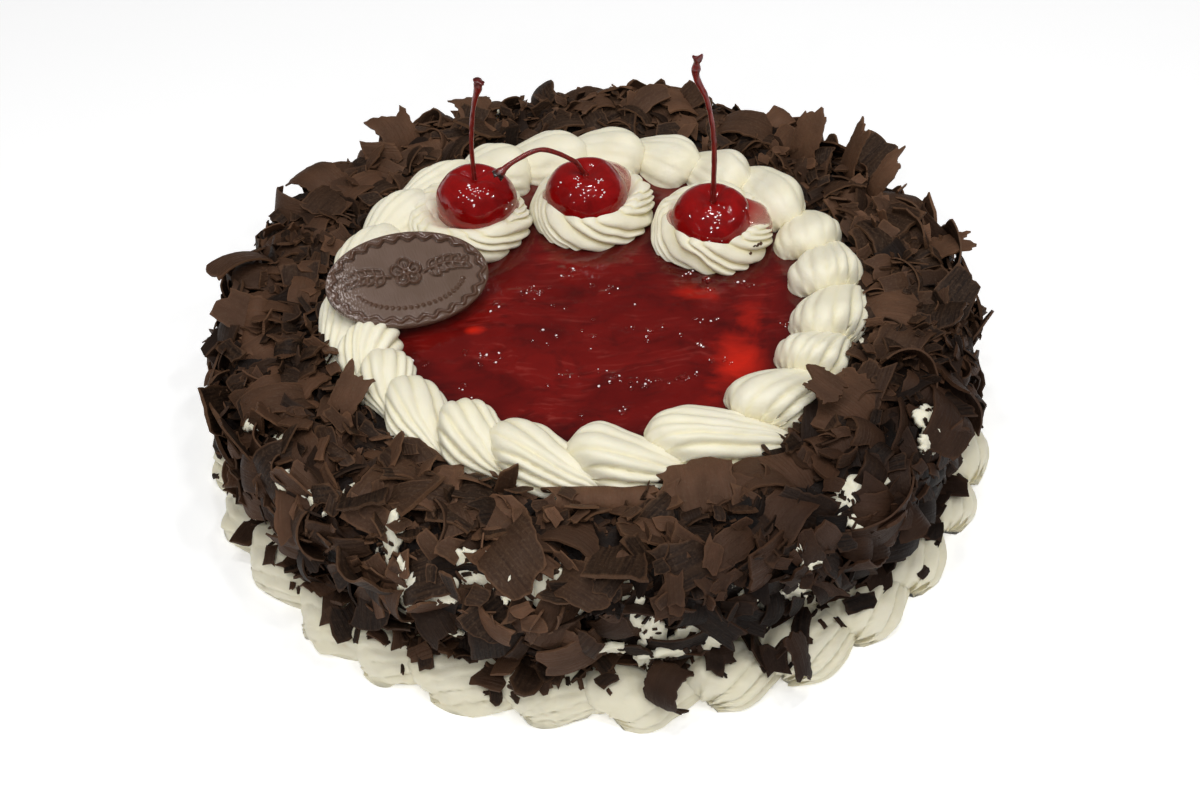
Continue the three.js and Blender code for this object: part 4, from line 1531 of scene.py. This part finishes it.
def sheet(length, width, tilt, turn, slant, draw, steps, strips, thickness, centred,
          ragged, edges=None, cup=0.0):
    """A curled sheet with torn edges: points, faces, grain and edge values.

    It runs along +X, rises by tilt and bends by turn over its length, and its ends slant.
    Ragged says how torn it is, edges give its half widths along both sides as shares, and
    cup is how far its middle bulges.
    """
    stations = np.linspace(0, 1, steps + 1)
    slopes = tilt + turn * (stations - (0.5 if centred else 0))
    stride = length / steps
    middle_slopes = (slopes[1:] + slopes[:-1]) / 2
    run = np.concatenate([[0], np.cumsum(np.cos(middle_slopes) * stride)])
    rise = np.concatenate([[0], np.cumsum(np.sin(middle_slopes) * stride)])
    if centred:
        run -= np.interp(0.5, stations, run)
        rise -= np.interp(0.5, stations, rise)
    if edges is None:
        edges = [draw.uniform(0.72, 1.08, 4), draw.uniform(0.72, 1.08, 4)]
    sides, ends = [], []
    for edge in edges:
        spread = np.interp(stations, np.linspace(0, 1, len(edge)), edge)
        chips = draw.uniform(-0.35, 0.35, steps + 1) + draw.uniform(-0.65, 0.65, 2).repeat(
            [steps // 2 + 1, steps - steps // 2])
        sides.append(width / 2 * spread * (1 + ragged * chips))
    for _ in (0, 1):
        knots = draw.uniform(-1, 1, 4)
        wander = np.interp(np.linspace(0, 1, strips + 1), np.linspace(0, 1, 4), knots)
        ends.append(ragged * min(length, 14) * (wander + draw.uniform(-0.3, 0.3, strips + 1)))
    across = np.linspace(-1, 1, strips + 1)
    mids, normals, grains = [], [], []
    for index, station in enumerate(stations):
        pull = ends[0] * max(0, 1 - 3 * station) + ends[1] * max(0, 3 * station - 2)
        for strip, reach in enumerate(across):
            y = reach * (sides[0][index] if reach > 0 else sides[1][index])
            bow = cup * (1 - reach**2)
            away = slant * y + pull[strip]
            normal = (-math.sin(slopes[index]), 0, math.cos(slopes[index]))
            mids.append((
                run[index] + away * math.cos(slopes[index]) + normal[0] * bow, y,
                rise[index] + away * math.sin(slopes[index]) + normal[2] * bow))
            normals.append(normal)
            grains.append((station * length + away, y, 0))
    mids, normals = np.array(mids), np.array(normals)
    thin = thickness / 2 * (1 - 0.45 * np.abs(np.tile(across, steps + 1)) ** 3)
    offset = normals * thin[:, None]
    count, columns = len(mids), strips + 1
    faces = [face[::-1] for face in grid_faces(steps + 1, columns, closed=False)]
    faces += grid_faces(steps + 1, columns, closed=False, start=count)
    rim = [
        *range(columns), *(row * columns + strips for row in range(1, steps + 1)),
        *range(count - 2, steps * columns - 1, -1),
        *(row * columns for row in range(steps - 1, 0, -1))]
    faces += [(two + count, one + count, one, two) for one, two in neighbours(rim)]
    edge = np.zeros(count)
    edge[rim] = 1.0
    return (np.vstack([mids + offset, mids - offset]), faces,
            np.array(grains * 2, float), np.tile(edge, 2))


def join_sheets(name, parts, tones):
    """One object from many sheets, with a tone for each."""
    points, faces = joined([part[:2] for part in parts])
    shades = [np.full(len(part[0]), tone) for part, tone in zip(parts, tones)]
    return make_mesh(name, points, faces, {
        "grain": np.vstack([part[2] for part in parts]),
        "edge": np.concatenate([part[3] for part in parts]),
        "tone": np.concatenate(shades)})


# kinds of sheet: how many, ranges of length, width, bend and slant, the way of the bend,
# steps and strips, thickness as a share, raggedness, and the range of the cupping
SHEETS = {
    "curl": (16, (12, 22), (9, 17), (-2.7, -0.8), (-0.3, 0.3), 1, (12, 7), 1.0, 0.13,
             (-0.4, 0.9)),
    "roll": (8, (14, 22), (14, 27), (3.4, 5.6), (-0.2, 0.2), -1, (18, 8), 0.9, 0.14, None),
    "shard": (18, (5, 12), (4, 8.5), (-1.1, 0.3), (-0.5, 0.5), 1, (5, 4), 0.9, 0.13, None),
    "crumb": (10, (1.8, 4.5), (1.2, 3.0), (-0.6, 0.6), (-0.5, 0.5), 1, (2, 2), 1.0, 0.25, None),
    "fallen": (10, (5.0, 11.0), (4.0, 8.0), (-0.9, 0.3), (-0.4, 0.4), 1, (4, 3), 1.0, 0.15,
               None),
    "stray": (10, (1.2, 4.2), (0.8, 2.6), (-0.9, 0.3), (-0.4, 0.4), 1, (4, 3), 1.0, 0.15, None),
}
CRUMB_THICKNESS = 0.8
CHIP_SHAPES = SHEETS["stray"][0]  # the fallen shards have as many


def sheet_shapes(kind, draw, thickness):
    """Sheets of one kind as objects, for setting down."""
    count, length, width, bend, slant, way, grid, share, ragged, cups = SHEETS[kind]
    made = []
    for index in range(count):
        points, faces, grains, edge = sheet(
            draw.uniform(*length), draw.uniform(*width), 0, way * draw.uniform(*bend),
            draw.uniform(*slant), draw, *grid, thickness * share, True, ragged=ragged,
            cup=draw.uniform(*cups) if cups else 0.0)
        made.append(make_mesh(f"{kind}_{index}", points, faces, {"grain": grains, "edge": edge}))
    return made


# shavings that stand out: middle, heading, pitch and roll in degrees, length, width, bend
PLACED_SHAVINGS = (
    ((1.5, -82, 50.5), (92, 0, 3), 16, 29, -4.6),
    ((25, -83, 51), (-82, -22, 6), 21, 22, -1.5),
    ((50.6, -79.3, 48), (-55, -26, -5), 24, 21, -1.7),
    ((68, -56, 51), (-38, -20, 4), 22, 22, -1.8),
    ((90, -14.3, 50), (-12, -14, 0), 25, 24, -1.7),
    ((60.5, -53.5, 59), (-30, -24, 10), 11, 9, 0.3),
    ((-100, -2.2, 50), (196, -16, 8), 23, 15, -2.1),
    ((-95.6, -22, 48), (214, -20, -8), 23, 14, -2.3),
    ((-83, -38, 49), (238, -22, 12), 19, 13, -1.9),
    ((-67.5, -45.5, 53), (50, 38, 14), 15, 9, -0.7),
    ((-9, -99, 42), (-104, -48, 10), 24, 21, -2.3),
    ((13.7, -118.6, 15.5), (-112, -54, 16), 16, 11, -3.0),
    ((50.4, -110.6, 16), (-64, -58, -30), 14, 9, -0.6),
    ((70, 63, 55), (42, 72, 10), 22, 9, -0.8),
    ((83, 52.3, 56), (32, 78, -14), 25, 8, -0.7),
    ((91.2, 43.8, 54), (22, 64, 8), 19, 8, -1.2),
    ((105, 15.3, 48), (8, 26, -10), 20, 13, -0.9),
    ((-62, 78, 52), (128, 56, 0), 20, 15, -1.9),
    ((-38, 91, 51), (112, 48, 12), 18, 14, -2.2),
    ((-84, 55, 51), (146, 34, -8), 21, 15, -2.2),
)


def placed_shavings(thickness, draw):
    """The shavings that stand out, each in its place."""
    parts = []
    for middle, (heading, pitch, roll), length, width, bend in PLACED_SHAVINGS:
        matrix = spun(
            Matrix.Translation(middle), ("Z", math.radians(heading)),
            ("Y", -math.radians(pitch)), ("X", math.radians(roll)))
        own = sheet(length, width, 0, bend, 0.1, draw, 18, 12, thickness * 1.1, True,
                    ragged=0.24, cup=draw.uniform(-0.6, 0.8))
        parts.append((turned(own[0], matrix), *own[1:]))
    return parts


def bed_point(share):
    """The radius, height and outward lean of the bed at a share of its section."""
    lengths = [math.dist(a, b) for a, b in zip(BED_SECTION, BED_SECTION[1:])]
    rest, index = share * sum(lengths), 0
    while index < len(lengths) - 1 and rest > lengths[index]:
        rest -= lengths[index]
        index += 1
    (radius, height), (after_radius, after_height) = BED_SECTION[index : index + 2]
    along = rest / lengths[index]
    return (radius + (after_radius - radius) * along, height + (after_height - height) * along,
            math.atan2(after_radius - radius, height - after_height))


def is_free(points, reach=FLAKE["reach"], margin=FLAKE["margin"]):
    """True where all points clear the piped cream and stay within the cake's outline."""
    points = np.asarray(points)
    radius = np.hypot(points[:, 0], points[:, 1])
    span = np.clip((radius - FOOT_SHOULDER) / (FOOT_EDGE - FOOT_SHOULDER), 0, None)
    foot = FOOT_CREST * np.sqrt(np.clip(1 - span**4, 0, None))
    return bool(np.all(
        (radius > RING_EDGE + margin) & (radius < reach)
        & (points[:, 2] < FLAKE["crest"]) & (points[:, 2] > foot + margin)))


def bed_frame(angle, share, sunk):
    """The frame of the bed at an angle round the cake: +Z outwards, +X down the section."""
    radius, height, lean = bed_point(share)
    return (
        Matrix.Rotation(angle, 4, "Z") @ Matrix.Translation((radius, 0, height))
        @ Matrix.Rotation(math.pi / 2 - lean, 4, "Y") @ Matrix.Translation((0, 0, -sunk)))


def large_shavings(thickness, draw):
    """The large shavings in the places that the solids give them."""
    state = FLAKE["seed"]

    def pick(low, high):
        """The next number of the rule that the solids draw from."""
        nonlocal state
        state = state * DRAW_FACTOR % DRAW_RANGE
        return low + (high - low) * state / DRAW_RANGE

    parts = []
    for row, column in itertools.product(range(FLAKE["rows"]), range(FLAKE["per_row"])):
        shift = 0 if row % 2 == 0 else 0.5
        angle = (column + shift + pick(-0.3, 0.3)) * 2 * math.pi / FLAKE["per_row"]
        share = (row + 0.5 + pick(-0.35, 0.35)) / FLAKE["rows"]
        curl = pick(0, 1) < FLAKE["curl_share"]
        length, width = pick(*FLAKE["length"]), pick(*FLAKE["width"])
        tilt = pick(0.7, 1.2) if curl else pick(0.2, 0.65)
        turn = pick(-2.4, -1.4) if curl else pick(-0.5, 0.4)
        slant = pick(-0.5, 0.5)
        edges = [[pick(0.6, 1.1) for _ in range(3)] for _ in (0, 1)]
        for _ in range(FLAKE["attempts"]):
            matrix = spun(
                bed_frame(angle, share, FLAKE["sunk"]), ("Z", pick(0, 2 * math.pi)),
                ("X", pick(-0.4, 0.4)))
            corners = coarse_corners(length, width, tilt, turn, slant, edges)
            if is_free(turned(corners, matrix)):
                own = sheet(length, width, tilt, turn, slant * 0.6, draw, 12, 8, thickness,
                            False, edges=edges, ragged=0.12)
                parts.append((turned(own[0], matrix), *own[1:]))
                break
            length, width = length * 0.94, width * 0.96
    return parts


def coarse_corners(length, width, tilt, turn, slant, edges):
    """The corners of a large shaving as the solids have it."""
    steps, corners = FLAKE["steps"], []
    for station in range(steps + 1):
        slope = tilt + turn * station / steps
        run = sum(math.cos(tilt + turn * (s + 0.5) / steps) for s in range(station))
        rise = sum(math.sin(tilt + turn * (s + 0.5) / steps) for s in range(station))
        for side, away in ((0, 0.5), (1, -0.5)):
            y = away * width * edges[side][station]
            for face in (-0.5, 0.5):
                depth = face * FLAKE["thickness"]
                corners.append((
                    slant * y - math.sin(slope) * depth + run * length / steps, y,
                    math.cos(slope) * depth + rise * length / steps))
    return corners


CLEARANCE = 6.5  # how far the scattered shavings keep from those that stand out
BARE_SHARE = 0.7  # share of the shavings that a smear of cream turns away
SCATTER_REACH = 119.0


def lay_shavings(draw, count, shapes, lift, tilts, size, shares, gap):
    """Places for shavings on the bed, turned at random and clear of the piped cream.

    Lift is the range of heights over the bed, tilts how much they tilt, shares the part
    of the bed's section that has them, and gap how far they may reach over the cream.
    """
    extents = [extent_of(shape) for shape in shapes]
    placed = np.array([row[0] for row in PLACED_SHAVINGS], float)
    smears = np.array([
        (*bed_frame(math.radians(bearing), share, 0).translation, (down + across) / 2)
        for bearing, share, down, across in CREAM_SMEARS])
    places, missed = [], 0
    while len(places) < count and missed < 40 * count:
        rise = draw.uniform(*lift)
        kind = draw.randint(0, len(shapes))
        matrix = spun(
            bed_frame(draw.uniform(-math.pi, math.pi), draw.uniform(*shares), -rise),
            ("Z", draw.uniform(0, 2 * math.pi)), ("X", draw.normal(0, tilts)),
            ("Y", draw.normal(0, tilts)))
        scale = draw.uniform(*size)
        sides = np.array((scale * draw.uniform(0.85, 1.15), scale, scale))
        at = np.array(matrix.translation)
        is_crowded = (np.linalg.norm(placed - at, axis=1) < CLEARANCE).any()
        width = np.ptp(extents[kind][:, 1]) * scale
        over = np.linalg.norm(smears[:, :3] - at, axis=1) < smears[:, 3] + 0.3 * width
        is_turned_away = over.any() and draw.uniform() < BARE_SHARE
        if is_crowded or is_turned_away or not is_free(
                turned(extents[kind] * sides, matrix), reach=SCATTER_REACH, margin=-gap):
            missed += 1
            continue
        # how deep it lies in the heap, for its painted shade
        deep = 1 - (rise - lift[0]) / (lift[1] - lift[0])
        places.append((tuple(at), kind, tuple(matrix.to_euler()), tuple(sides), deep))
    return places


def patches(points):
    """From 0 to 1 where the shavings leave the cream coat bare, mostly low on the side."""
    cloud = noise(points * np.array((1, 1, 1.5)), 11.0, 95) + 0.4 * noise(points, 4.0, 96)
    low = np.clip((33 - points[:, 2]) / 12, 0, 1) * np.clip((25 - points[:, 1]) / 40, 0.35, 1)
    return np.clip((cloud - 0.75 + 0.42 * low) / 0.12, 0, 1)


def extent_of(shape):
    """A few points that stand for the reach of a shape."""
    points = mesh_points(shape)
    picks = [points[:, axis].argmin() for axis in range(3)]
    picks += [points[:, axis].argmax() for axis in range(3)]
    corners = [np.abs(points[:, :2] @ (a, b)).argmax() for a in (-1, 1) for b in (-1, 1)]
    return points[picks + corners]


class CAKE_OT_coat(bpy.types.Operator):
    """Lays the cream coat that carries the shavings"""

    bl_idname = "cake.coat"
    bl_label = "Cream coat"

    def execute(self, context):
        section = [(104.6, 0), (104.6, 7), *[(r - 0.9, z) for r, z in BED_SECTION[::-1]]]
        section += [(82.5, COAT_TOP), (60, COAT_TOP), (30, COAT_TOP)]
        knots = [(0, *section[0])]
        for before, after in zip(section, section[1:]):
            knots.append((knots[-1][0] + math.dist(before, after), *after))
        knots = np.array(knots, float)
        shares = np.arange(0, knots[-1][0], 1.6)
        rows = np.stack([np.interp(shares, knots[:, 0], knots[:, k]) for k in (1, 2)], axis=1)
        around = bearings(420)
        points = np.concatenate([circle(radius, height, around) for radius, height in rows])
        uneven = 0.7 * noise(points, 7.0, 90) + 0.45 * noise(points, 2.8, 91)
        outward = points * np.array((1.0, 1.0, 0))
        outward /= np.linalg.norm(outward, axis=1, keepdims=True)
        reach = np.hypot(points[:, 0], points[:, 1])
        points += outward * (uneven * (points[:, 2] > 9))[:, None]
        points[:, 2] += 0.35 * uneven * (reach > 84) * (points[:, 2] > 40)
        points = np.vstack([points, [(0, 0, 0)], [(0, 0, COAT_TOP)]])
        patch = noise(points, 5.0, 97) * 0.5 + noise(points, 2.2, 98) * 0.3
        patch -= 0.25 * np.clip((points[:, 2] - 38) / 6, 0, 1)
        bare = np.clip(0.25 + patch + 0.75 * patches(points), 0, 1)
        bare[np.hypot(points[:, 0], points[:, 1]) < 73] = 1
        bare[points[:, 2] < 12] = 1
        faces = tube_faces(len(rows), len(around))
        coat = make_mesh("cream_coat", points, faces, {"bare": bare})
        settle(coat, "cream", "cake_body", material=dust_and_shade_coat())
        return {"FINISHED"}


# scattered shavings: kind of sheet, how many, range of lift, tilt, range of size, part of
# the bed's section, and how far they may reach over the piped cream
LAYERS = (
    ("broad_curls", "curl", 420, (-0.6, 4.2), 0.40, (0.7, 1.15), (0.03, 0.88), 2.6),
    ("rolled_curls", "roll", 80, (0.5, 3.2), 0.25, (0.75, 1.1), (0.05, 0.9), 1.0),
    ("shards", "shard", 1150, (-0.6, 3.4), 0.36, (0.5, 1.15), (-0.1, 0.98), 3.4),
    ("collar_shards", "shard", 860, (1.0, 5.4), 0.62, (0.3, 0.95), (-0.10, 0.62), 3.2),
    ("crumbs", "crumb", 3000, (-0.8, 0.7), 0.6, (0.5, 1.4), (-0.13, 1.0), 3.6),
)


class CAKE_OT_shavings(bpy.types.Operator):
    """Presses the chocolate shavings onto the side and the rim of the top"""

    bl_idname = "cake.shavings"
    bl_label = "Chocolate shavings"

    def execute(self, context):
        sizes = context.scene.cake_sizes
        thickness = sizes.shaving_thickness / MM
        chocolate = dark_chocolate()
        draw = np.random.RandomState(sizes.seed + 900)
        parts = large_shavings(thickness, draw) + placed_shavings(thickness, draw)
        tones = draw.uniform(0.0, 0.85, len(parts))
        tones[-len(PLACED_SHAVINGS):] = 0.72 + 0.22 * tones[-len(PLACED_SHAVINGS):]
        settle_chocolate(join_sheets("large_shavings", parts, tones), chocolate)
        shapes = [
            sheet_shapes(kind, draw, CRUMB_THICKNESS if kind == "crumb" else thickness)
            for _, kind, *_ in LAYERS]
        for index, (own, (name, _, count, *ranges)) in enumerate(zip(shapes, LAYERS)):
            places = lay_shavings(draw, count, own, *ranges)
            settle_chocolate(set_down(name, own, places, chocolate, 10 + index))
        return {"FINISHED"}


# cream that shows between the shavings: bearing in degrees, share of the bed's section,
# half the width down the section and half the width across it
CREAM_SMEARS = (
    (-107.4, 0.41, 3.8, 3.6), (-111.5, 0.54, 3.8, 4.2), (-119.9, 0.41, 4.5, 1.8),
    (-116.5, 0.59, 6.0, 1.8), (-140.0, 0.41, 2.2, 1.8), (-130.6, 0.27, 5.2, 1.2),
    (-102.3, 0.43, 2.2, 1.2), (-103.3, 0.47, 2.2, 1.2), (-100.4, 0.48, 2.2, 1.8),
    (-97.1, 0.46, 4.5, 3.0), (-93.6, 0.49, 3.0, 3.6), (-92.2, 0.55, 3.8, 1.2),
    (-113.1, 0.78, 4.5, 3.6), (-90.8, 0.87, 3.8, 5.4), (-147.6, 0.33, 1.5, 1.8),
    (-151.9, 0.40, 1.5, 1.8), (-134.6, 0.41, 1.5, 1.8), (-50.2, 0.37, 2.4, 6.2),
    (-52.9, 0.40, 3.6, 2.4), (-54.0, 0.42, 3.0, 1.8), (-63.0, 0.46, 2.2, 1.8),
    (-61.5, 0.53, 1.5, 1.8), (-62.2, 0.72, 3.8, 3.0), (-69.6, 0.66, 2.2, 3.6),
    (-87.4, 0.51, 3.0, 2.4), (-86.4, 0.61, 4.5, 3.0), (-84.0, 0.80, 6.0, 2.4),
    (-76.7, 0.85, 3.8, 4.8), (-33.8, 0.39, 3.0, 2.4),
    (-36.7, 0.41, 2.2, 2.4), (-38.0, 0.49, 1.5, 2.4), (-112.0, 0.88, 3.0, 2.4),
    (-118.0, 0.84, 3.2, 1.6), (-81.0, 0.90, 3.4, 5.4),
    (12, 0.8, 4, 3), (38, 0.6, 3, 4), (61, 0.85, 4, 4), (88, 0.7, 3, 3), (104, 0.5, 2.5, 4),
    (131, 0.8, 4, 3), (156, 0.62, 3, 3), (178, 0.84, 4, 3), (-166, 0.7, 3, 2.5),
)


FEEL_HEIGHT = 14  # height over the bed that rays look for the shavings from
SMEAR_LEVEL = 38  # percentile of the shavings under a smear that it lies level with
SMEAR_THICKNESS = 1.4
SMEAR_SPREAD = 1.55


class CAKE_OT_cream_smears(bpy.types.Operator):
    """Lets cream show between the shavings"""

    bl_idname = "cake.cream_smears"
    bl_label = "Cream between the shavings"

    def execute(self, context):
        draw = np.random.RandomState(context.scene.cake_sizes.seed + 1500)
        graph = context.evaluated_depsgraph_get()
        grounds = [
            BVHTree.FromObject(bpy.data.objects[name], graph)
            for name in ("large_shavings", "broad_curls", "shards")]
        points, faces = joined([self.smear(grounds, draw, *row) for row in CREAM_SMEARS])
        smears = make_mesh("cream_smears", points, faces, {"groove": np.ones(len(points))})
        # the smeared cream is greyed a little by painted shade
        settle(smears, "cream", material=whipped_cream("smeared cream", 0.12))
        return {"FINISHED"}

    def smear(self, grounds, draw, bearing, share, down, across):
        """One torn patch, level with the lower of the shavings that it lies between."""
        columns, steps = 44, 7
        here = bed_frame(math.radians(bearing), share, 0)
        around = bearings(columns)
        wander = draw.uniform(0.6, 1.35, 7)
        reach = np.interp(around, np.linspace(0, 2 * math.pi, 8), [*wander, wander[0]])
        reach = reach * draw.uniform(0.8, 1.12, columns)
        flat = [(0.0, 0.0)]
        for step in range(1, steps + 1):
            span = SMEAR_SPREAD * step / steps * (1 + (reach - 1) * step / steps)
            flat += list(zip(down * span * np.cos(around), across * span * np.sin(around)))
        inward = Vector(-np.array(here.to_3x3())[:, 2])
        heights = []
        for x, y in flat:
            start = (here @ Vector((x, y, FEEL_HEIGHT))) * MM
            hits = [ground.ray_cast(start, inward, 0.03)[3] for ground in grounds]
            near = min((hit / MM for hit in hits if hit is not None), default=13.0)
            heights.append(FEEL_HEIGHT - near)
        own = np.array([(x, y, 0) for x, y in flat])
        out = np.array([0, *np.repeat(np.arange(1, steps + 1) / steps, columns)])
        own[:, 2] = np.percentile(heights, SMEAR_LEVEL) + 0.1 - 0.8 * out**3
        own[:, 2] += 0.4 * noise(own + 9 * bearing, 2.6, 77) + 0.2 * noise(own, 1.0, 78)
        count = len(own)
        faces = [face[::-1] for face in grid_faces(steps, columns, start=1)]
        faces += fan(range(1, columns + 1), 0)
        faces += [tuple(index + count for index in face[::-1]) for face in faces]
        faces += [(two + count, two, one, one + count)
                  for one, two in neighbours(range(count - columns, count))]
        return turned(np.vstack([own, own - (0, 0, SMEAR_THICKNESS)]), here), faces


# chips on the foot border: kind of sheet, how many, least, likeliest and greatest distance
# from the middle, tilt, and lift over the cream
FALLEN = (
    ("fallen_shards", "fallen", 420, (104, 106, 117), 0.45, 1.6),
    ("stray_crumbs", "stray", 190, (106, 110, 121), 0.25, 0.25),
)

# crumbs on the third nest: place and size
NEST_CRUMBS = ((49.5, 12.4, 0.6), (48.4, 11.6, 0.35), (50.6, 13.6, 0.35), (47.3, 10.8, 0.3))


class CAKE_OT_stray_crumbs(bpy.types.Operator):
    """Drops a few chips and crumbs of chocolate on the cream"""

    bl_idname = "cake.stray_crumbs"
    bl_label = "Stray crumbs"

    def execute(self, context):
        draw = np.random.RandomState(context.scene.cake_sizes.seed + 1300)
        border = ground_of("foot_shells")
        for name, kind, count, reaches, tilts, lift in FALLEN:
            shapes = sheet_shapes(kind, draw, CRUMB_THICKNESS)
            places = []
            while len(places) < count:
                angle, reach = draw.uniform(-math.pi, math.pi), draw.triangular(*reaches)
                found = drop(border, reach * math.cos(angle), reach * math.sin(angle), 60)
                if found[0] is not None and found[0].z >= 4:
                    places.append(self.chip(draw, found, lift, (0.45, 1.25), tilts, 0.4))
            if name == "stray_crumbs":
                places += self.on_smears(draw) + self.on_nest(draw)
            # the chips and crumbs have less painted shade where they lie low
            settle_chocolate(set_down(name, shapes, places, dark_chocolate(name, 0.25), 30))
        return {"FINISHED"}

    def chip(self, draw, found, lift, sizes, tilts, deep):
        """A place for a chip on the ground that was found, turned and tilted at random."""
        hit, normal = found
        lie = spun(lie_on(normal).to_matrix().to_4x4(), ("Z", draw.uniform(0, FULL_TURN)))
        if tilts:
            lie = spun(lie, ("Y", draw.normal(0, tilts)))
        size = draw.uniform(*sizes)
        # deep sets the chip's painted shade
        return (tuple(hit + normal * lift), draw.randint(0, CHIP_SHAPES), tuple(lie.to_euler()),
                (size, size, 1.0), deep)

    def on_smears(self, draw):
        """Places for crumbs that stick to the cream between the shavings."""
        ground = ground_of("cream_smears")
        places = []
        for bearing, share, down, across in CREAM_SMEARS:
            here = bed_frame(math.radians(bearing), share, 0)
            inward = -here.to_3x3().col[2]
            for _ in range(2 + int(down * across / 3)):
                x, y = draw.normal(0, 0.7, 2) * (down, across)
                found = ground.ray_cast(here @ Vector((x, y, FEEL_HEIGHT)), inward)[:2]
                if found[0] is not None:
                    places.append(self.chip(draw, found, 0.2, (0.3, 0.9), None, 0.5))
        return places

    def on_nest(self, draw):
        """Places for the crumbs on the third nest."""
        ground = ground_of("nest_3")
        places = []
        for x, y, size in NEST_CRUMBS:
            hit, normal = drop(ground, x, y)
            places.append((
                tuple(hit + normal * 0.3), draw.randint(0, CHIP_SHAPES),
                tuple(lie_on(normal).to_euler()), (size, size, 1.0), 0.4))
        return places


# ------------------------------------------------------------------ stage

CAMERA_PLACE = (0.894, -341.70, 333.97)
CAMERA_DIP = 43.98  # degrees below level
CAMERA_ROLL = -1.917
CAMERA_LENS = 45.0
FLOOR_HALF = 2500
LAMP_DISTANCE = 1250
LAMP_AIM = (0, 0, 30)

# lamps: bearing from the front and height above level in degrees, width, watts
LAMPS = (
    (-78, 34, 50, 0.7), (-42, 55, 50, 0.9), (6, 59, 55, 1.0), (64, 40, 50, 0.9),
    (-11, 43, 50, 0.9), (-6, 26, 40, 0.5), (-50, 26, 40, 0.5), (34, 50, 50, 0.9),
    (-75, 80, 55, 1.0), (20, 82, 55, 1.1), (170, 80, 50, 1.0), (-24, 70, 50, 0.9),
    (62, 68, 55, 1.0), (100, 76, 50, 0.9),
)


class CAKE_OT_stage(bpy.types.Operator):
    """Sets the floor, the lights and the camera"""

    bl_idname = "cake.stage"
    bl_label = "Floor, lights and camera"

    def execute(self, context):
        scene = context.scene
        scene.view_settings.view_transform = "Standard"
        corners = [(-1, -1, 0), (1, -1, 0), (1, 1, 0), (-1, 1, 0)]
        floor = make_mesh("floor", FLOOR_HALF * np.array(corners), [(0, 1, 2, 3)])
        floor.data.materials.append(plain_floor())
        self.light("overhead", (20, -40, 1400), 1800, 3.8, False)
        self.light("front_fill", (500, -1500, 1000), 900, 1.3, False)
        for index, (bearing, height, width, power) in enumerate(LAMPS):
            level = LAMP_DISTANCE * math.cos(math.radians(height))
            at = (level * math.sin(math.radians(bearing)),
                  -level * math.cos(math.radians(bearing)),
                  LAMP_DISTANCE * math.sin(math.radians(height)))
            self.light(f"lamp_{index}", at, width, power, True)
        world = bpy.data.worlds.new("pale room")
        world.use_nodes = True
        background = world.node_tree.nodes["Background"]
        background.inputs["Color"].default_value = (1, 1, 1, 1)
        background.inputs["Strength"].default_value = 0.1
        scene.world = world
        lens = bpy.data.cameras.new("camera")
        lens.lens = CAMERA_LENS
        lens.clip_start = 0.01
        camera = bpy.data.objects.new("camera", lens)
        turn = Matrix.Rotation(math.radians(90 - CAMERA_DIP), 4, "X")
        turn = turn @ Matrix.Rotation(math.radians(CAMERA_ROLL), 4, "Z")
        camera.matrix_world = Matrix.Translation(Vector(CAMERA_PLACE) * MM) @ turn
        scene.collection.objects.link(camera)
        scene.camera = camera
        return {"FINISHED"}

    def light(self, name, at, width, power, in_gloss):
        """A square lamp that faces the cake."""
        lamp = bpy.data.lights.new(name, "AREA")
        lamp.shape = "SQUARE"
        lamp.size = width * MM
        lamp.energy = power
        made = bpy.data.objects.new(name, lamp)
        made.location = Vector(at) * MM
        aim = Vector(LAMP_AIM) * MM - made.location
        made.rotation_euler = aim.to_track_quat("-Z", "Y").to_euler()
        made.visible_glossy = in_gloss
        bpy.context.scene.collection.objects.link(made)


# ------------------------------------------------------------------ panel and run

OPERATORS = (
    CAKE_OT_coat, CAKE_OT_foot_border, CAKE_OT_piped_ring, CAKE_OT_jelly, CAKE_OT_nests,
    CAKE_OT_cherries, CAKE_OT_syrup, CAKE_OT_stalks, CAKE_OT_plaque, CAKE_OT_shavings,
    CAKE_OT_cream_smears, CAKE_OT_stray_crumbs, CAKE_OT_stage,
)


class CAKE_PT_panel(bpy.types.Panel):
    """The cake's sizes, colours and pieces"""

    bl_idname = "CAKE_PT_panel"
    bl_label = "Black forest cake"
    bl_space_type = "VIEW_3D"
    bl_region_type = "UI"
    bl_category = "Cake"

    def draw(self, context):
        for group in (context.scene.cake_sizes, context.scene.cake_colours):
            column = self.layout.column()
            for key in group.__annotations__:
                column.prop(group, key)
        for operator in OPERATORS:
            self.layout.operator(operator.bl_idname)


CLASSES = (CakeColours, CakeSizes, *OPERATORS, CAKE_PT_panel)


def register():
    for item in CLASSES:
        bpy.utils.register_class(item)
    bpy.types.Scene.cake_colours = bpy.props.PointerProperty(type=CakeColours)
    bpy.types.Scene.cake_sizes = bpy.props.PointerProperty(type=CakeSizes)


def unregister():
    del bpy.types.Scene.cake_sizes
    del bpy.types.Scene.cake_colours
    for item in reversed(CLASSES):
        bpy.utils.unregister_class(item)


def main():
    register()
    for operator in OPERATORS:
        group, name = operator.bl_idname.split(".")
        getattr(getattr(bpy.ops, group), name)()


if __name__ == "__main__":
    main()
